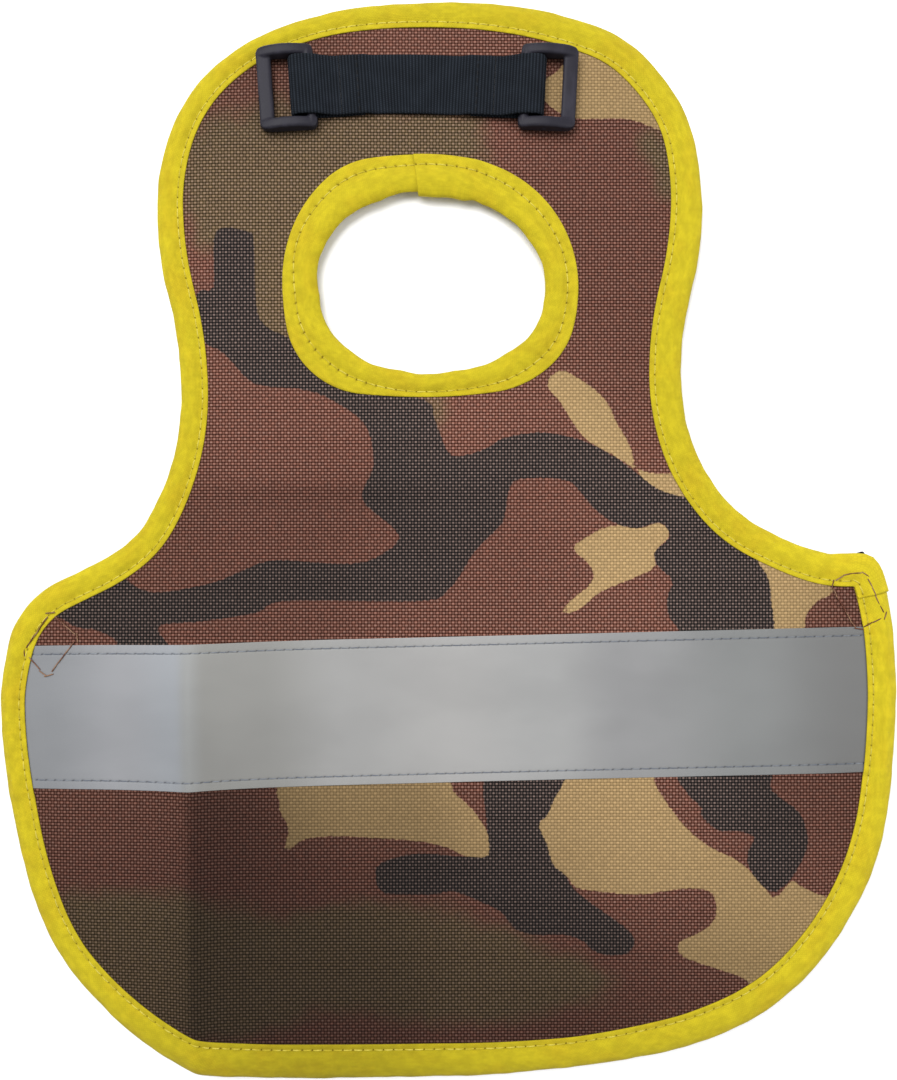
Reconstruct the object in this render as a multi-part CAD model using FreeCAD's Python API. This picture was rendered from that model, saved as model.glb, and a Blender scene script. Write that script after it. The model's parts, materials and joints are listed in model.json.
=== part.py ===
"""Pull-over bib vest, laid flat: two fabric layers in a bound edge, a neck opening, a
reflective band, a webbing bridge that holds two strap slides, and two side straps that
are sewn behind the lower corners and folded in behind the panel.

Row frame, in millimetres: +X to the wearer's side, +Y towards the neck flap, +Z out of
the front face. The origin is the middle of the outline, on the surface that it lies on.
The fabric folds at the neck, so every layer that crosses the neck fold is made as two
solids, one on the main panel and one on the flap.
"""
import FreeCAD
import Part
import math
import os

# ---- driving dimensions -------------------------------------------------------------
STRAP_THICK = 1.1        # side strap webbing
STRAP_WIDTH = 20.0
STRAP_FREE_LENGTH = 190.0
STRAP_GAP = 0.3          # air between the sewn tab and the strap folded under it
BINDING_PLY = 0.45       # folded tape over the edge, one side
LINING_THICK = 0.35
SHELL_THICK = 0.6
BAND_THICK = 0.2
BAND_WIDTH = 50.0
BINDING_WIDTH = 10.5     # visible width of the edge tape on the front
THREAD_HEIGHT = 0.25
THREAD_WIDTH = 0.5
EDGE_STITCH_INSET = 8.6  # outline to the stitch row on the edge tape
BAND_STITCH_MARGIN = 3.0
BAND_MIDDLE = (0.0, -58.3)
BAND_TILT = 1.4          # degrees, the band was sewn on a little askew
NECK_FOLD_Y = 88.5       # the fold across the middle of the neck opening

# Height of each layer over the surface that the vest lies on.
Z_TAB = STRAP_THICK + STRAP_GAP
Z_BACK = Z_TAB + STRAP_THICK
Z_LINING = Z_BACK + BINDING_PLY
Z_SHELL = Z_LINING + LINING_THICK
Z_FRONT = Z_SHELL + SHELL_THICK
Z_TAPE = Z_FRONT + BINDING_PLY

# ---- slides and the webbing bridge --------------------------------------------------
WEB_THICK = 1.3
WEB_WIDTH = 20.5
BRIDGE_Y = 154.6
BAR_X = {"left": -47.4, "right": 26.2}    # axis of the slide's round bar
BAR_YAW = {"left": 4.0, "right": -3.0}    # degrees, each slide sits a little askew
OUTWARD = {"left": -1.0, "right": 1.0}
BAR_RADIUS = 1.7
BAR_CLEARANCE = 0.05
LOOP_REACH = 7.0         # bar axis to the outside of the webbing's fold
SLIDE_INNER_END = -2.4   # all from the bar axis, outward is positive
SLIDE_OUTER_END = 17.6
OUTER_BAR_WIDTH = 5.0
OUTER_BAR_HALF_THICK = 1.1
SLOT_HALF_LENGTH = 10.6
CHEEK_THICK = 3.6
CHEEK_RISE = 2.6         # top of the arched cheek over the bar axis
CHEEK_DROP = 1.7
INNER_CORNER = 1.6       # plan radius of the slide's corners
OUTER_CORNER = 3.4
Z_BAR = Z_FRONT + WEB_THICK + BAR_RADIUS + BAR_CLEARANCE

# ---- side straps: where each folds at the corner, and which way its tab points out ---
STRAP_FOLD = {"left": (-144.9, -29.95), "right": (146.9, -13.6)}
STRAP_OUT = {"left": 142.8, "right": 20.0}       # degrees from +X
TAB_LENGTH = 18.0
FOLD_RADIUS = STRAP_THICK + STRAP_GAP / 2
FREE_START = FOLD_RADIUS + 0.15
BOX_STITCH = {"left": ((-136.9, -36.0), 12.5, 17.7, 142.8),
              "right": ((141.5, -20.8), 11.0, 17.6, 27.5)}

# Outline of the bound edge, clockwise from the top: x, y and heading in degrees.
OUTLINE = [
    (1.5, 186.0, 0), (50.4, 178.2, -19), (77.6, 155.1, -57), (87.7, 115.0, -90),
    (80.4, 57.0, -90), (97.4, 12.4, -47), (119.0, -0.8, -23), (133.0, -4.9, -6),
    (143.5, -5.2, -8), (149.4, -11.8, -73), (154.5, -54.0, -90), (140.6, -127.0, -118),
    (104.5, -165.8, -150), (52.0, -181.0, -172), (-56.0, -186.0, -180),
    (-93.8, -180.0, -207), (-128.4, -151.4, -231), (-149.4, -101.0, -259),
    (-154.5, -57.0, -270),
    (-151.2, -34.5, -285), (-143.6, -21.2, -313), (-124.0, -9.2, -335),
    (-103.5, 8.0, -299), (-92.5, 50.0, -270), (-100.7, 115.0, -270),
    (-88.3, 155.1, -307), (-62.0, 175.4, -337),
]
# The neck opening's inside edge, the edge of its tape on the panel and the stitches between.
NECK_EDGE = [(-8.0, 120.0, 0), (33.3, 86.0, -90), (-7.0, 57.4, -180), (-38.9, 70.0, -229),
             (-45.1, 90.0, -270)]
NECK_TAPE = [(-9.0, 132.6, 0), (24.6, 124.5, -33), (44.7, 87.0, -90), (36.4, 61.2, -134),
             (-8.0, 49.1, -180), (-48.8, 59.4, -227), (-57.2, 89.0, -270), (-42.4, 123.9, -317)]
NECK_STITCH = [(-7.0, 128.9, 0), (22.1, 120.8, -34), (40.9, 88.0, -90), (32.4, 63.2, -136),
               (-8.0, 50.9, -180), (-46.3, 66.4, -231), (-53.2, 94.0, -270),
               (-40.3, 120.0, -318)]

UP = FreeCAD.Vector(0, 0, 1)


def point(x, y, z=0.0):
    return FreeCAD.Vector(x, y, z)


def heading(degrees):
    a = math.radians(degrees)
    return point(math.cos(a), math.sin(a))


def arc_edge(start, direction, end):
    """The arc that leaves start along direction and ends at end."""
    chord = end - start
    cross = chord.x * direction.y - chord.y * direction.x
    turn = math.atan2(cross, chord.dot(direction))
    if abs(turn) < 1e-4:
        return Part.LineSegment(start, end).toShape()
    bulge = UP.cross(chord) * (0.5 * math.tan(turn / 2))
    return Part.Arc(start, (start + end) * 0.5 + bulge, end).toShape()


def smooth_loop(nodes):
    """A closed wire of tangent arcs, two from each node to the next."""
    edges = []
    for a, b in zip(nodes, nodes[1:] + nodes[:1]):
        p, q = point(a[0], a[1]), point(b[0], b[1])
        t, u = heading(a[2]), heading(b[2])
        v = q - p
        ahead = v.dot(t + u)
        turn = 2 * (1 - t.dot(u))
        reach = v.dot(v) / (ahead + math.sqrt(ahead * ahead + turn * v.dot(v)))
        joint = (p + q + (t - u) * reach) * 0.5
        edges.append(arc_edge(p, t, joint))
        edges.append(arc_edge(q, u * -1, joint))
    return Part.Wire(Part.__sortEdges__(edges))


def inset(wire, distance):
    """The wire moved in by distance, or out where distance is negative."""
    if distance == 0:
        return wire
    return wire.makeOffset2D(-distance)


def slab(wire, low, high):
    """The flat solid inside a wire, from one height to another."""
    solid = Part.Face(wire).extrude(point(0, 0, high - low))
    solid.translate(point(0, 0, low))
    return solid


def flat_wire(points):
    return Part.makePolygon(points + points[:1])


def side_of_fold(shape, flap):
    """The part of a shape on the flap's side, or on the main panel's side, of the fold."""
    reach = 400.0
    low = NECK_FOLD_Y if flap else NECK_FOLD_Y - reach
    return shape.common(Part.makeBox(2 * reach, reach, 40, point(-reach, low, -10)))


def clean(shape):
    solids = shape.removeSplitter().Solids
    return solids[0] if len(solids) == 1 else Part.makeCompound(solids)


OUTER = smooth_loop(OUTLINE)
NECK = smooth_loop(NECK_EDGE)
NECK_PANEL_SIDE = smooth_loop(NECK_TAPE)


def fabric_layer(low, high):
    """One fabric layer, cut inside the wall of both tapes."""
    panel = slab(inset(OUTER, BINDING_PLY), low, high)
    return panel.cut(slab(inset(NECK, -BINDING_PLY), low - 1, high + 1))


def reflective_band():
    """The band runs the whole width and ends under the edge tape."""
    half = BAND_WIDTH / 2
    strip = Part.makeBox(400, BAND_WIDTH, BAND_THICK, point(-200, -half, Z_FRONT))
    strip.rotate(point(0, 0), UP, BAND_TILT)
    strip.translate(point(*BAND_MIDDLE))
    return strip.common(slab(inset(OUTER, 4.0), Z_FRONT, Z_TAPE))


def edge_binding(band):
    """Tape folded over the outline: two plies joined by a wall, hollow for the fabric."""
    tape = slab(OUTER, Z_BACK, Z_TAPE)
    tape = tape.cut(slab(inset(OUTER, BINDING_WIDTH), Z_BACK - 1, Z_TAPE + 1))
    return tape.cut(slab(inset(OUTER, BINDING_PLY), Z_LINING, Z_FRONT)).cut(band)


def neck_binding():
    """Tape folded over the edge of the neck opening."""
    tape = slab(NECK_PANEL_SIDE, Z_BACK, Z_TAPE).cut(slab(NECK, Z_BACK - 1, Z_TAPE + 1))
    core = slab(inset(NECK_PANEL_SIDE, -2.0), Z_LINING, Z_FRONT)
    return tape.cut(core.cut(slab(inset(NECK, -BINDING_PLY), Z_BACK, Z_TAPE)))


def stitch_row(wire, distance, low):
    """A row of lockstitch as one low ridge that follows a wire."""
    outside = slab(inset(wire, distance - THREAD_WIDTH / 2), low, low + THREAD_HEIGHT)
    inside = inset(wire, distance + THREAD_WIDTH / 2)
    return outside.cut(slab(inside, low - 1, low + 1))


def both_faces(wire, distance):
    """A stitch row on the front of a tape and its bobbin row on the back."""
    front = stitch_row(wire, distance, Z_TAPE)
    return front.fuse(stitch_row(wire, distance, Z_BACK - THREAD_HEIGHT))


def band_thread(side):
    """One straight stitch row along the band: side is 1 for the upper edge."""
    offset = side * (BAND_WIDTH / 2 - BAND_STITCH_MARGIN) - THREAD_WIDTH / 2
    base = Z_FRONT + BAND_THICK
    row = Part.makeBox(400, THREAD_WIDTH, THREAD_HEIGHT, point(-200, offset, base))
    row.rotate(point(0, 0), UP, BAND_TILT)
    row.translate(point(*BAND_MIDDLE))
    return row.common(slab(inset(OUTER, BINDING_WIDTH + 0.3), Z_FRONT, Z_TAPE + 1))


def place(shape, where, degrees):
    """Turns a shape about +Z and moves its own origin to a point of the frame."""
    shape.rotate(point(0, 0), UP, degrees)
    shape.translate(point(*where))
    return shape


def strap_tab(side):
    """The sewn end of a side strap, with the half-round fold at its outer end."""
    half = STRAP_WIDTH / 2
    axis = point(0, -half, Z_TAB - STRAP_GAP / 2)
    tab = Part.makeBox(TAB_LENGTH, STRAP_WIDTH, STRAP_THICK, point(-TAB_LENGTH, -half, Z_TAB))
    along = point(0, 1, 0)
    ring = Part.makeCylinder(FOLD_RADIUS, STRAP_WIDTH, axis, along)
    ring = ring.cut(Part.makeCylinder(STRAP_GAP / 2, STRAP_WIDTH, axis, along))
    ring = ring.common(Part.makeBox(5, 2 * STRAP_WIDTH, 5, point(0, -STRAP_WIDTH, -1)))
    return place(clean(tab.fuse(ring)), STRAP_FOLD[side], STRAP_OUT[side])


def strap(side):
    """The free length of a side strap, folded in under its tab, with a heat-cut end."""
    half, cut = STRAP_WIDTH / 2, 3.0
    corners = [point(-FREE_START, -half), point(-FREE_START, half),
               point(cut - STRAP_FREE_LENGTH, half), point(-STRAP_FREE_LENGTH, half - cut),
               point(-STRAP_FREE_LENGTH, cut - half), point(cut - STRAP_FREE_LENGTH, -half)]
    return place(slab(flat_wire(corners), 0, STRAP_THICK), STRAP_FOLD[side], STRAP_OUT[side])


def box_thread(side, under):
    """The rectangle of stitching that holds a tab, where it shows on the front."""
    middle, length, width, turn = BOX_STITCH[side]
    frame = None
    for sign, grow in ((1, THREAD_WIDTH / 2), (-1, -THREAD_WIDTH / 2)):
        a, b = length / 2 + grow, width / 2 + grow
        corners = [point(-a, -b), point(a, -b), point(a, b), point(-a, b)]
        block = slab(flat_wire(corners), Z_FRONT, Z_TAPE + THREAD_HEIGHT)
        frame = block if sign > 0 else frame.cut(block)
    frame = place(frame, middle, turn)
    for layer in under:
        frame = frame.cut(layer)
    return frame


def profile(points, arc=None):
    """A face in the XZ plane from corner points, with an arc after one of them."""
    edges = []
    for i, (a, b) in enumerate(zip(points, points[1:] + points[:1])):
        if arc and i == arc[0]:
            edges.append(Part.Arc(a, arc[1], b).toShape())
        else:
            edges.append(Part.LineSegment(a, b).toShape())
    return Part.Face(Part.Wire(edges))


def webbing_loop(side):
    """One end of the bridge: the webbing turned back round the slide's bar."""
    t, r = WEB_THICK, BAR_RADIUS + BAR_CLEARANCE
    top = 2 * t + 2 * r
    middle = LOOP_REACH - r - t
    half = WEB_WIDTH / 2
    outer = profile([point(-10, 0, 0), point(middle, 0, 0), point(middle, 0, top),
                     point(-1.7, 0, top), point(-6.1, 0, 2 * t), point(-10, 0, 2 * t)],
                    (1, point(LOOP_REACH, 0, top / 2)))
    hollow = profile([point(-5.6, 0, t), point(middle, 0, t), point(middle, 0, top - t),
                      point(-1.2, 0, top - t)],
                     (1, point(middle + r, 0, top / 2)))
    loop = outer.extrude(point(0, WEB_WIDTH, 0)).cut(hollow.extrude(point(0, WEB_WIDTH, 0)))
    loop.translate(point(0, -half, Z_FRONT))
    return seat(loop, side)


def seat(shape, side):
    """Puts a shape that is drawn outward along +X from the bar axis at its slide."""
    if OUTWARD[side] < 0:
        shape.rotate(point(0, 0), UP, 180)
    return place(shape, (BAR_X[side], BRIDGE_Y), BAR_YAW[side])


def bridge_webbing():
    """One strip: each end goes round a bar and back under, and both ends are sewn down."""
    t, half = WEB_THICK, WEB_WIDTH / 2
    left, right = BAR_X["left"], BAR_X["right"]
    middle = profile([point(left + 8, 0, 0), point(right - 8, 0, 0),
                      point(right - 8, 0, 2 * t), point(right - 18.5, 0, 2 * t),
                      point(right - 20.5, 0, t), point(left + 20.5, 0, t),
                      point(left + 18.5, 0, 2 * t), point(left + 8, 0, 2 * t)])
    strip = middle.extrude(point(0, WEB_WIDTH, 0))
    strip.translate(point(0, BRIDGE_Y - half, Z_FRONT))
    return clean(strip.fuse(webbing_loop("left")).fuse(webbing_loop("right")))


def bridge_thread(side):
    """The two stitch rows across one sewn end of the bridge."""
    rows = None
    base = Z_FRONT + 2 * WEB_THICK
    length = WEB_WIDTH - 3
    for reach in (10.5, 16.5):
        x = BAR_X[side] - OUTWARD[side] * reach
        row = Part.makeBox(THREAD_WIDTH, length, THREAD_HEIGHT,
                           point(x - THREAD_WIDTH / 2, BRIDGE_Y - length / 2, base))
        rows = row if rows is None else rows.fuse(row)
    return rows


def slide(side):
    """A moulded single-slot loop: round inner bar, flat outer bar, two arched cheeks."""
    inner, outer = SLIDE_INNER_END, SLIDE_OUTER_END
    width = SLOT_HALF_LENGTH + CHEEK_THICK
    low, bar_top = -CHEEK_DROP, OUTER_BAR_HALF_THICK
    side_view = profile([point(inner + 1, 0, low), point(outer, 0, low + 0.5),
                         point(outer, 0, bar_top), point(inner, 0, 0.8),
                         point(inner, 0, low + 0.9)],
                        (2, point((inner + outer) / 2, 0, CHEEK_RISE)))
    body = side_view.extrude(point(0, 2 * width, 0))
    body.translate(point(0, -width, 0))
    plan = Part.makeBox(outer - inner, 2 * width, 12, point(inner, -width, -6))
    plan = plan.makeFillet(INNER_CORNER, upright_edges(plan, inner))
    plan = plan.makeFillet(OUTER_CORNER, upright_edges(plan, outer))
    slot = Part.makeBox(outer - inner - OUTER_BAR_WIDTH + 4, 2 * SLOT_HALF_LENGTH, 12,
                        point(inner - 4, -SLOT_HALF_LENGTH, -6))
    over_bar = Part.makeBox(OUTER_BAR_WIDTH + 4, 2 * SLOT_HALF_LENGTH, 6,
                            point(outer - OUTER_BAR_WIDTH, -SLOT_HALF_LENGTH, bar_top))
    body = body.common(plan).cut(slot).cut(over_bar)
    bar = Part.makeCylinder(BAR_RADIUS, 2 * SLOT_HALF_LENGTH + 2,
                            point(0, -SLOT_HALF_LENGTH - 1, 0), point(0, 1, 0))
    body = clean(body.fuse(bar))
    body.translate(point(0, 0, Z_BAR))
    return seat(body, side)


def upright_edges(box, x):
    """The full-height corner edges of a box that stand at x."""
    return [e for e in box.Edges if e.BoundBox.ZLength > 11 and e.BoundBox.XLength < 0.01
            and abs(e.BoundBox.XMin - x) < 0.01]


def build():
    """Every sub-part by node name."""
    band = reflective_band()
    tape = edge_binding(band)
    tabs = {side: strap_tab(side) for side in STRAP_FOLD}
    edge_rows = both_faces(OUTER, EDGE_STITCH_INSET).cut(tabs["left"]).cut(tabs["right"])
    crossing = {
        "outer_fabric": fabric_layer(Z_SHELL, Z_FRONT),
        "lining": fabric_layer(Z_LINING, Z_SHELL),
        "edge_binding": tape,
        "neck_binding": neck_binding(),
        "edge_thread": edge_rows,
        "neck_thread": both_faces(smooth_loop(NECK_STITCH), 0),
    }
    nodes = {}
    for name, shape in crossing.items():
        nodes[name + "_main"] = side_of_fold(shape, False)
        nodes[name + "_flap"] = side_of_fold(shape, True)
    nodes["reflective_band"] = band
    nodes["band_thread_upper"] = band_thread(1)
    nodes["band_thread_lower"] = band_thread(-1)
    nodes["bridge_webbing"] = bridge_webbing()
    under_box = [tape, band, edge_rows, nodes["band_thread_upper"]]
    for side in ("left", "right"):
        nodes["slide_" + side] = slide(side)
        nodes["strap_tab_" + side] = tabs[side]
        nodes["strap_" + side] = strap(side)
        nodes["box_thread_" + side] = box_thread(side, under_box)
        nodes["bridge_thread_" + side] = bridge_thread(side)
    return nodes


def main():
    os.makedirs("parts", exist_ok=True)
    for name, shape in build().items():
        shape = clean(shape)
        box = shape.BoundBox
        print(f"{name:20s} {len(shape.Solids)} {shape.isValid()} {shape.Volume:9.1f} "
              f"x {box.XMin:7.2f} {box.XMax:7.2f}  y {box.YMin:7.2f} {box.YMax:7.2f}  "
              f"z {box.ZMin:5.2f} {box.ZMax:5.2f}")
        shape.exportStep(os.path.join("parts", name + ".step"))


main()
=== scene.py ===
"""The looks of a reflective bib vest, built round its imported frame.

Every piece lies where the frame's nodes are. Shapes are drawn in millimetres and scaled
to metres once, and what rests on the cloth follows one height function, drape(). The
materials are nodes, and read the flat place on the cloth that each piece stores.
"""
import json
import math

import bmesh
import bpy
import numpy as np
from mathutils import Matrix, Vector, geometry


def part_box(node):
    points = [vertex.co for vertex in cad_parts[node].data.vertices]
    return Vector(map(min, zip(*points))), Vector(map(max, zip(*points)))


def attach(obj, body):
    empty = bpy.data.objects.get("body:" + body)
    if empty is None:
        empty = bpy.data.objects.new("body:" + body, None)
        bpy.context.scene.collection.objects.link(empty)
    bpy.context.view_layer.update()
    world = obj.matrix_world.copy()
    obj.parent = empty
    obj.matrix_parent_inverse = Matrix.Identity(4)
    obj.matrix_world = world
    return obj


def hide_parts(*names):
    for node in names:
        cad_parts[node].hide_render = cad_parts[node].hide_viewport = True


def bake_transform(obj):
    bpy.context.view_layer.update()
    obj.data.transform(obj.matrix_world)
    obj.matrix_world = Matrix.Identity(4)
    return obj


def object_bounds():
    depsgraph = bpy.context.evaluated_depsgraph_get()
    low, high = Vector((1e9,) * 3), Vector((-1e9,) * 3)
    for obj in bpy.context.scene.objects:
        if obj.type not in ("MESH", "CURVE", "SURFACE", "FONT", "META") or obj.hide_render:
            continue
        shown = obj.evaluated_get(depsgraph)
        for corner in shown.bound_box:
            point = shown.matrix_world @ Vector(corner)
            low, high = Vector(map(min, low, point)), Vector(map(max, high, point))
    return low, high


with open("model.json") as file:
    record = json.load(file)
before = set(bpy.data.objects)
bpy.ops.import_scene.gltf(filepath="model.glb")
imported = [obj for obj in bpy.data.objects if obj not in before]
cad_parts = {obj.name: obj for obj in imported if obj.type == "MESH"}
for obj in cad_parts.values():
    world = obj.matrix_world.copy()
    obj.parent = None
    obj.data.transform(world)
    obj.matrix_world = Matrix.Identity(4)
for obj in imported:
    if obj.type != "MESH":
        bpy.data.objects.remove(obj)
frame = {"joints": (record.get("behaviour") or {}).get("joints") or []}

bl_info = {
    "name": "Bib Vest Looks",
    "version": (1, 0, 0),
    "blender": (4, 5, 0),
    "location": "View3D > Sidebar > Bib Vest",
    "description": "Builds the cloth, tape, webbing and slides of a bib vest",
    "category": "Object",
}

MM = 0.001
SEED = 7
LINING_YARN = 0.45 * MM     # one yarn of each finer weave
TAPE_YARN = 0.46 * MM
CAD_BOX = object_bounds()
JOINTS = {j["name"]: j for j in frame["joints"]}

# Heights of the layers, from the frame.
Z_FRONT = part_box("outer_fabric_main")[1].z
Z_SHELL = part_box("outer_fabric_main")[0].z
Z_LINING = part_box("lining_main")[0].z
Z_TAPE_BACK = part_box("edge_binding_main")[0].z
TAPE_PLY = Z_LINING - Z_TAPE_BACK
STRAP_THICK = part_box("strap_left")[1].z

# Outline of the bound edge, clockwise from the top: x, y in mm and heading in degrees.
OUTLINE = [
    (1.5, 186.0, 0), (50.4, 178.2, -19), (77.6, 155.1, -57), (87.7, 115.0, -90),
    (80.4, 57.0, -90), (97.4, 12.4, -47), (119.0, -0.8, -23), (133.0, -4.9, -6),
    (143.5, -5.2, -8), (149.4, -11.8, -73), (154.5, -54.0, -90), (140.6, -127.0, -118),
    (104.5, -165.8, -150), (52.0, -181.0, -172), (-56.0, -186.0, -180),
    (-93.8, -180.0, -207), (-128.4, -151.4, -231), (-149.4, -101.0, -259),
    (-154.5, -57.0, -270),
    (-151.2, -34.5, -285), (-143.6, -21.2, -313), (-124.0, -9.2, -335),
    (-103.5, 8.0, -299), (-92.5, 50.0, -270), (-100.7, 115.0, -270),
    (-88.3, 155.1, -307), (-62.0, 175.4, -337),
]
# Width of the edge tape near points round the outline: x, y and width in mm.
EDGE_TAPE_WIDTHS = [
    (1.5, 186, 9.4), (50, 178, 11.0), (82, 146, 10.4), (87, 99, 11.4), (86, 28, 11.2),
    (103, 8, 10.8), (133, -5, 11.0), (153, -29, 10.6), (154, -53, 10.3), (150, -100, 10.8),
    (113, -160, 11.2), (92, -172, 11.8), (45, -181, 10.8), (-3, -185, 12.0), (-51, -186, 12.3),
    (-78, -184, 12.4), (-98, -178, 11.0), (-132, -146, 9.2), (-149, -101, 8.9),
    (-154, -54, 8.8), (-133, -14, 9.9), (-99, 17, 9.6), (-98, 88, 9.6), (-98, 135, 9.0),
    (-87, 157, 8.5), (-46, 181, 8.2), (-23, 185, 8.6),
]
# The neck opening's inside edge, the edge of its tape on the panel and the stitches between.
NECK_EDGE = [(-8.0, 120.0, 0), (33.3, 86.0, -90), (-7.0, 57.4, -180), (-38.9, 70.0, -229),
             (-45.1, 90.0, -270)]
NECK_TAPE = [(-9.0, 132.6, 0), (24.6, 124.5, -33), (44.7, 87.0, -90), (36.4, 61.2, -134),
             (-8.0, 49.1, -180), (-48.8, 59.4, -227), (-57.2, 89.0, -270), (-42.4, 123.9, -317)]
NECK_STITCH = [(-7.0, 128.9, 0), (22.1, 120.8, -34), (40.9, 88.0, -90), (32.4, 63.2, -136),
               (-8.0, 50.9, -180), (-46.3, 66.4, -231), (-53.2, 94.0, -270),
               (-40.3, 120.0, -318)]
NECK_MIDDLE = (-6.5, 89.0)

# The printed pattern: each patch is a closed smooth line through its points, in mm.
BLACK_PATCHES = [
    [(-86, 86), (-81, 87), (-80, 106), (-69, 106), (-67, 103), (-66, 80), (-62, 73), (-54, 69),
     (-34, 56), (-8, 48), (-5, 42), (0, 30), (5, 29), (14, 32), (19, 35), (32, 37), (43, 35),
     (49, 33), (58, 28), (66, 22), (73, 17), (84, 14), (98, 8), (104, -2), (107, -8),
     (110, -13), (111, -20), (110, -34), (85, -34), (77, -28), (75, -21), (77, -14),
     (72, -9), (71, -4),
     (76, 1), (73, 6), (64, 4), (55, 7), (49, 12), (43, 19), (38, 21), (25, 21), (21, 18),
     (19, 7), (15, 2), (9, -4), (4, -12), (0, -17), (-9, -21), (-56, -21), (-66, -25),
     (-85, -28), (-98, -29), (-100, -31), (-97, -35), (-93, -41), (-113, -41), (-114, -35),
     (-121, -31), (-128, -30), (-133, -27), (-139, -24), (-127, -10), (-113, -13), (-106, -17),
     (-101, -18), (-92, -17), (-79, -14), (-65, -8), (-57, -7), (-42, -8),
     (-32, -8), (-25, -6), (-17, 0),
     (-20, 5), (-25, 9), (-30, 15), (-26, 25), (-27, 36), (-32, 43), (-42, 49), (-51, 52),
     (-67, 54), (-77, 64), (-84, 68), (-89, 76)],
    [(14, -80), (39, -80), (36, -90), (34, -95), (31, -98), (34, -105), (36, -112), (40, -115),
     (43, -120), (49, -125), (59, -132), (64, -137), (63, -141), (59, -143), (51, -142),
     (46, -138), (40, -136), (30, -136), (23, -134), (18, -128), (12, -125), (2, -121),
     (-5, -122), (-13, -122), (-23, -121), (-25, -115), (-23, -111), (-11, -108), (5, -109),
     (13, -109), (14, -105), (13, -96)],
    [(80, -79), (109, -78), (111, -86), (120, -93), (123, -100), (123, -106), (118, -116),
     (112, -121), (107, -118), (103, -112), (103, -107), (105, -102), (99, -100), (93, -100),
     (87, -95), (87, -92), (82, -87)],
]
TAN_PATCHES = [
    [(34, 53), (36, 57), (40, 58), (47, 54), (54, 48), (58, 40), (62, 33), (65, 25), (70, 23),
     (77, 23), (86, 23), (86, 11), (74, 16), (68, 19), (63, 25), (55, 30), (48, 34), (43, 40),
     (38, 48)],
    [(43, -3), (46, 0), (53, 4), (59, 5), (66, 4), (72, 6), (76, 3), (75, 0), (71, -4),
     (71, -9), (66, -12), (59, -15), (52, -18), (46, -23), (42, -25), (39, -24), (43, -20),
     (48, -16), (50, -12), (48, -8)],
    [(103, -5), (120, -11), (133, -17), (127, -21), (123, -26), (121, -34), (106, -34),
     (107, -20)],
    [(-54, -82), (-5, -81), (2, -87), (10, -95), (15, -105), (14, -110), (6, -109), (0, -106),
     (-8, -104), (-17, -103), (-33, -102), (-43, -102), (-50, -103), (-56, -107), (-55, -99),
     (-57, -95), (-58, -91)],
    [(38, -79), (67, -79), (72, -86), (80, -97), (89, -105), (99, -110), (107, -117),
     (112, -123), (118, -117), (121, -119), (131, -123), (145, -124), (132, -147),
     (108, -162), (103, -152), (94, -148), (82, -144), (79, -141), (80, -138), (88, -134),
     (92, -129), (91, -122), (87, -120), (80, -120), (73, -121), (64, -122), (45, -120),
     (41, -116), (33, -112), (31, -98), (35, -90)],
    [(33, 158), (38, 162), (44, 169), (56, 172), (70, 158), (77, 141), (62, 145), (45, 145),
     (37, 148), (32, 153)],
]
OLIVE_PATCHES = [
    [(-92, 128), (-80, 146), (-50, 150), (-20, 148), (4, 147), (12, 144), (13, 130), (8, 118),
     (-20, 108), (-52, 96), (-50, 72), (-70, 70), (-74, 98), (-88, 102)],
    [(-9, 48), (-3, 48), (-2, 42), (-8, 38)],
    [(66, 136), (78, 138), (84, 126), (74, 120)],
    [(-134, -124), (-100, -122), (-62, -128), (-28, -126), (8, -130), (40, -142), (58, -152),
     (30, -164), (-8, -166), (-40, -162), (-66, -170), (-100, -168), (-126, -146)],
]

# Painted shade and light on the cloth near places on it, darker towards the bottom: x, y in mm and
# brightness.
CLOTH_PAINTED_SHADE = [
    (-70, 162, 0.6), (0, 165, 0.78), (70, 145, 0.7), (-60, 120, 0.8), (82, 100, 0.7),
    (60, 60, 0.7), (-80, 70, 0.86), (-60, 38, 0.88), (0, 38, 1.02), (45, 38, 1.0),
    (-60, 26, 0.98), (-95, 8, 0.63), (-55, 10, 0.58), (-15, 5, 0.72), (30, 6, 0.78),
    (75, 12, 0.93), (-120, -18, 0.68), (-60, -15, 0.67), (0, -15, 0.9), (55, -8, 1.0),
    (112, -18, 0.92), (143, -28, 0.62), (-130, -92, 0.6), (-30, -88, 0.58), (25, -88, 0.86),
    (75, -90, 0.9), (130, -95, 0.58), (-120, -112, 0.42), (-55, -112, 0.3), (-15, -110, 0.41),
    (25, -118, 0.6), (70, -118, 0.82), (112, -122, 0.84), (-115, -145, 0.38), (-75, -150, 0.27),
    (-30, -148, 0.29), (15, -150, 0.38), (60, -150, 0.44), (100, -145, 0.54), (-40, -172, 0.25),
    (40, -170, 0.34),
]
PAINTED_SHADE_REACH = 17.0           # how far each place's tone spreads, in mm

# Sizes in mm.
EDGE_STITCH_MARGIN = 1.9    # the stitch row from the edge tape's sewn side
STATIONS_PER_STITCH = 6     # sections of the tape along each stitch
STRAP_FREE_LENGTH = 190.0
STRAP_WIDTH = 20.0
# Where the side straps lie behind the corners and hold the cloth up: x and y.
STRAP_CORNERS = [(-140.0, -33.0), (143.0, -17.0)]

# The cloth over the flat frame, in mm: a long crease at the left, a slow swell, slanted
# ripples at the right, a step under the neck and edges that droop.
CREASE_X = -90.0
CREASE_HEIGHT = 2.3
CREASE_REACH = (11, 8)      # how fast it falls off on its left and on its right
SWELL = 0.7
RIPPLE = 0.3
STEP = 0.9
STEP_Y = 18
EDGE_DROOP = 1.0
DROOP_REACH = 24

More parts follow.
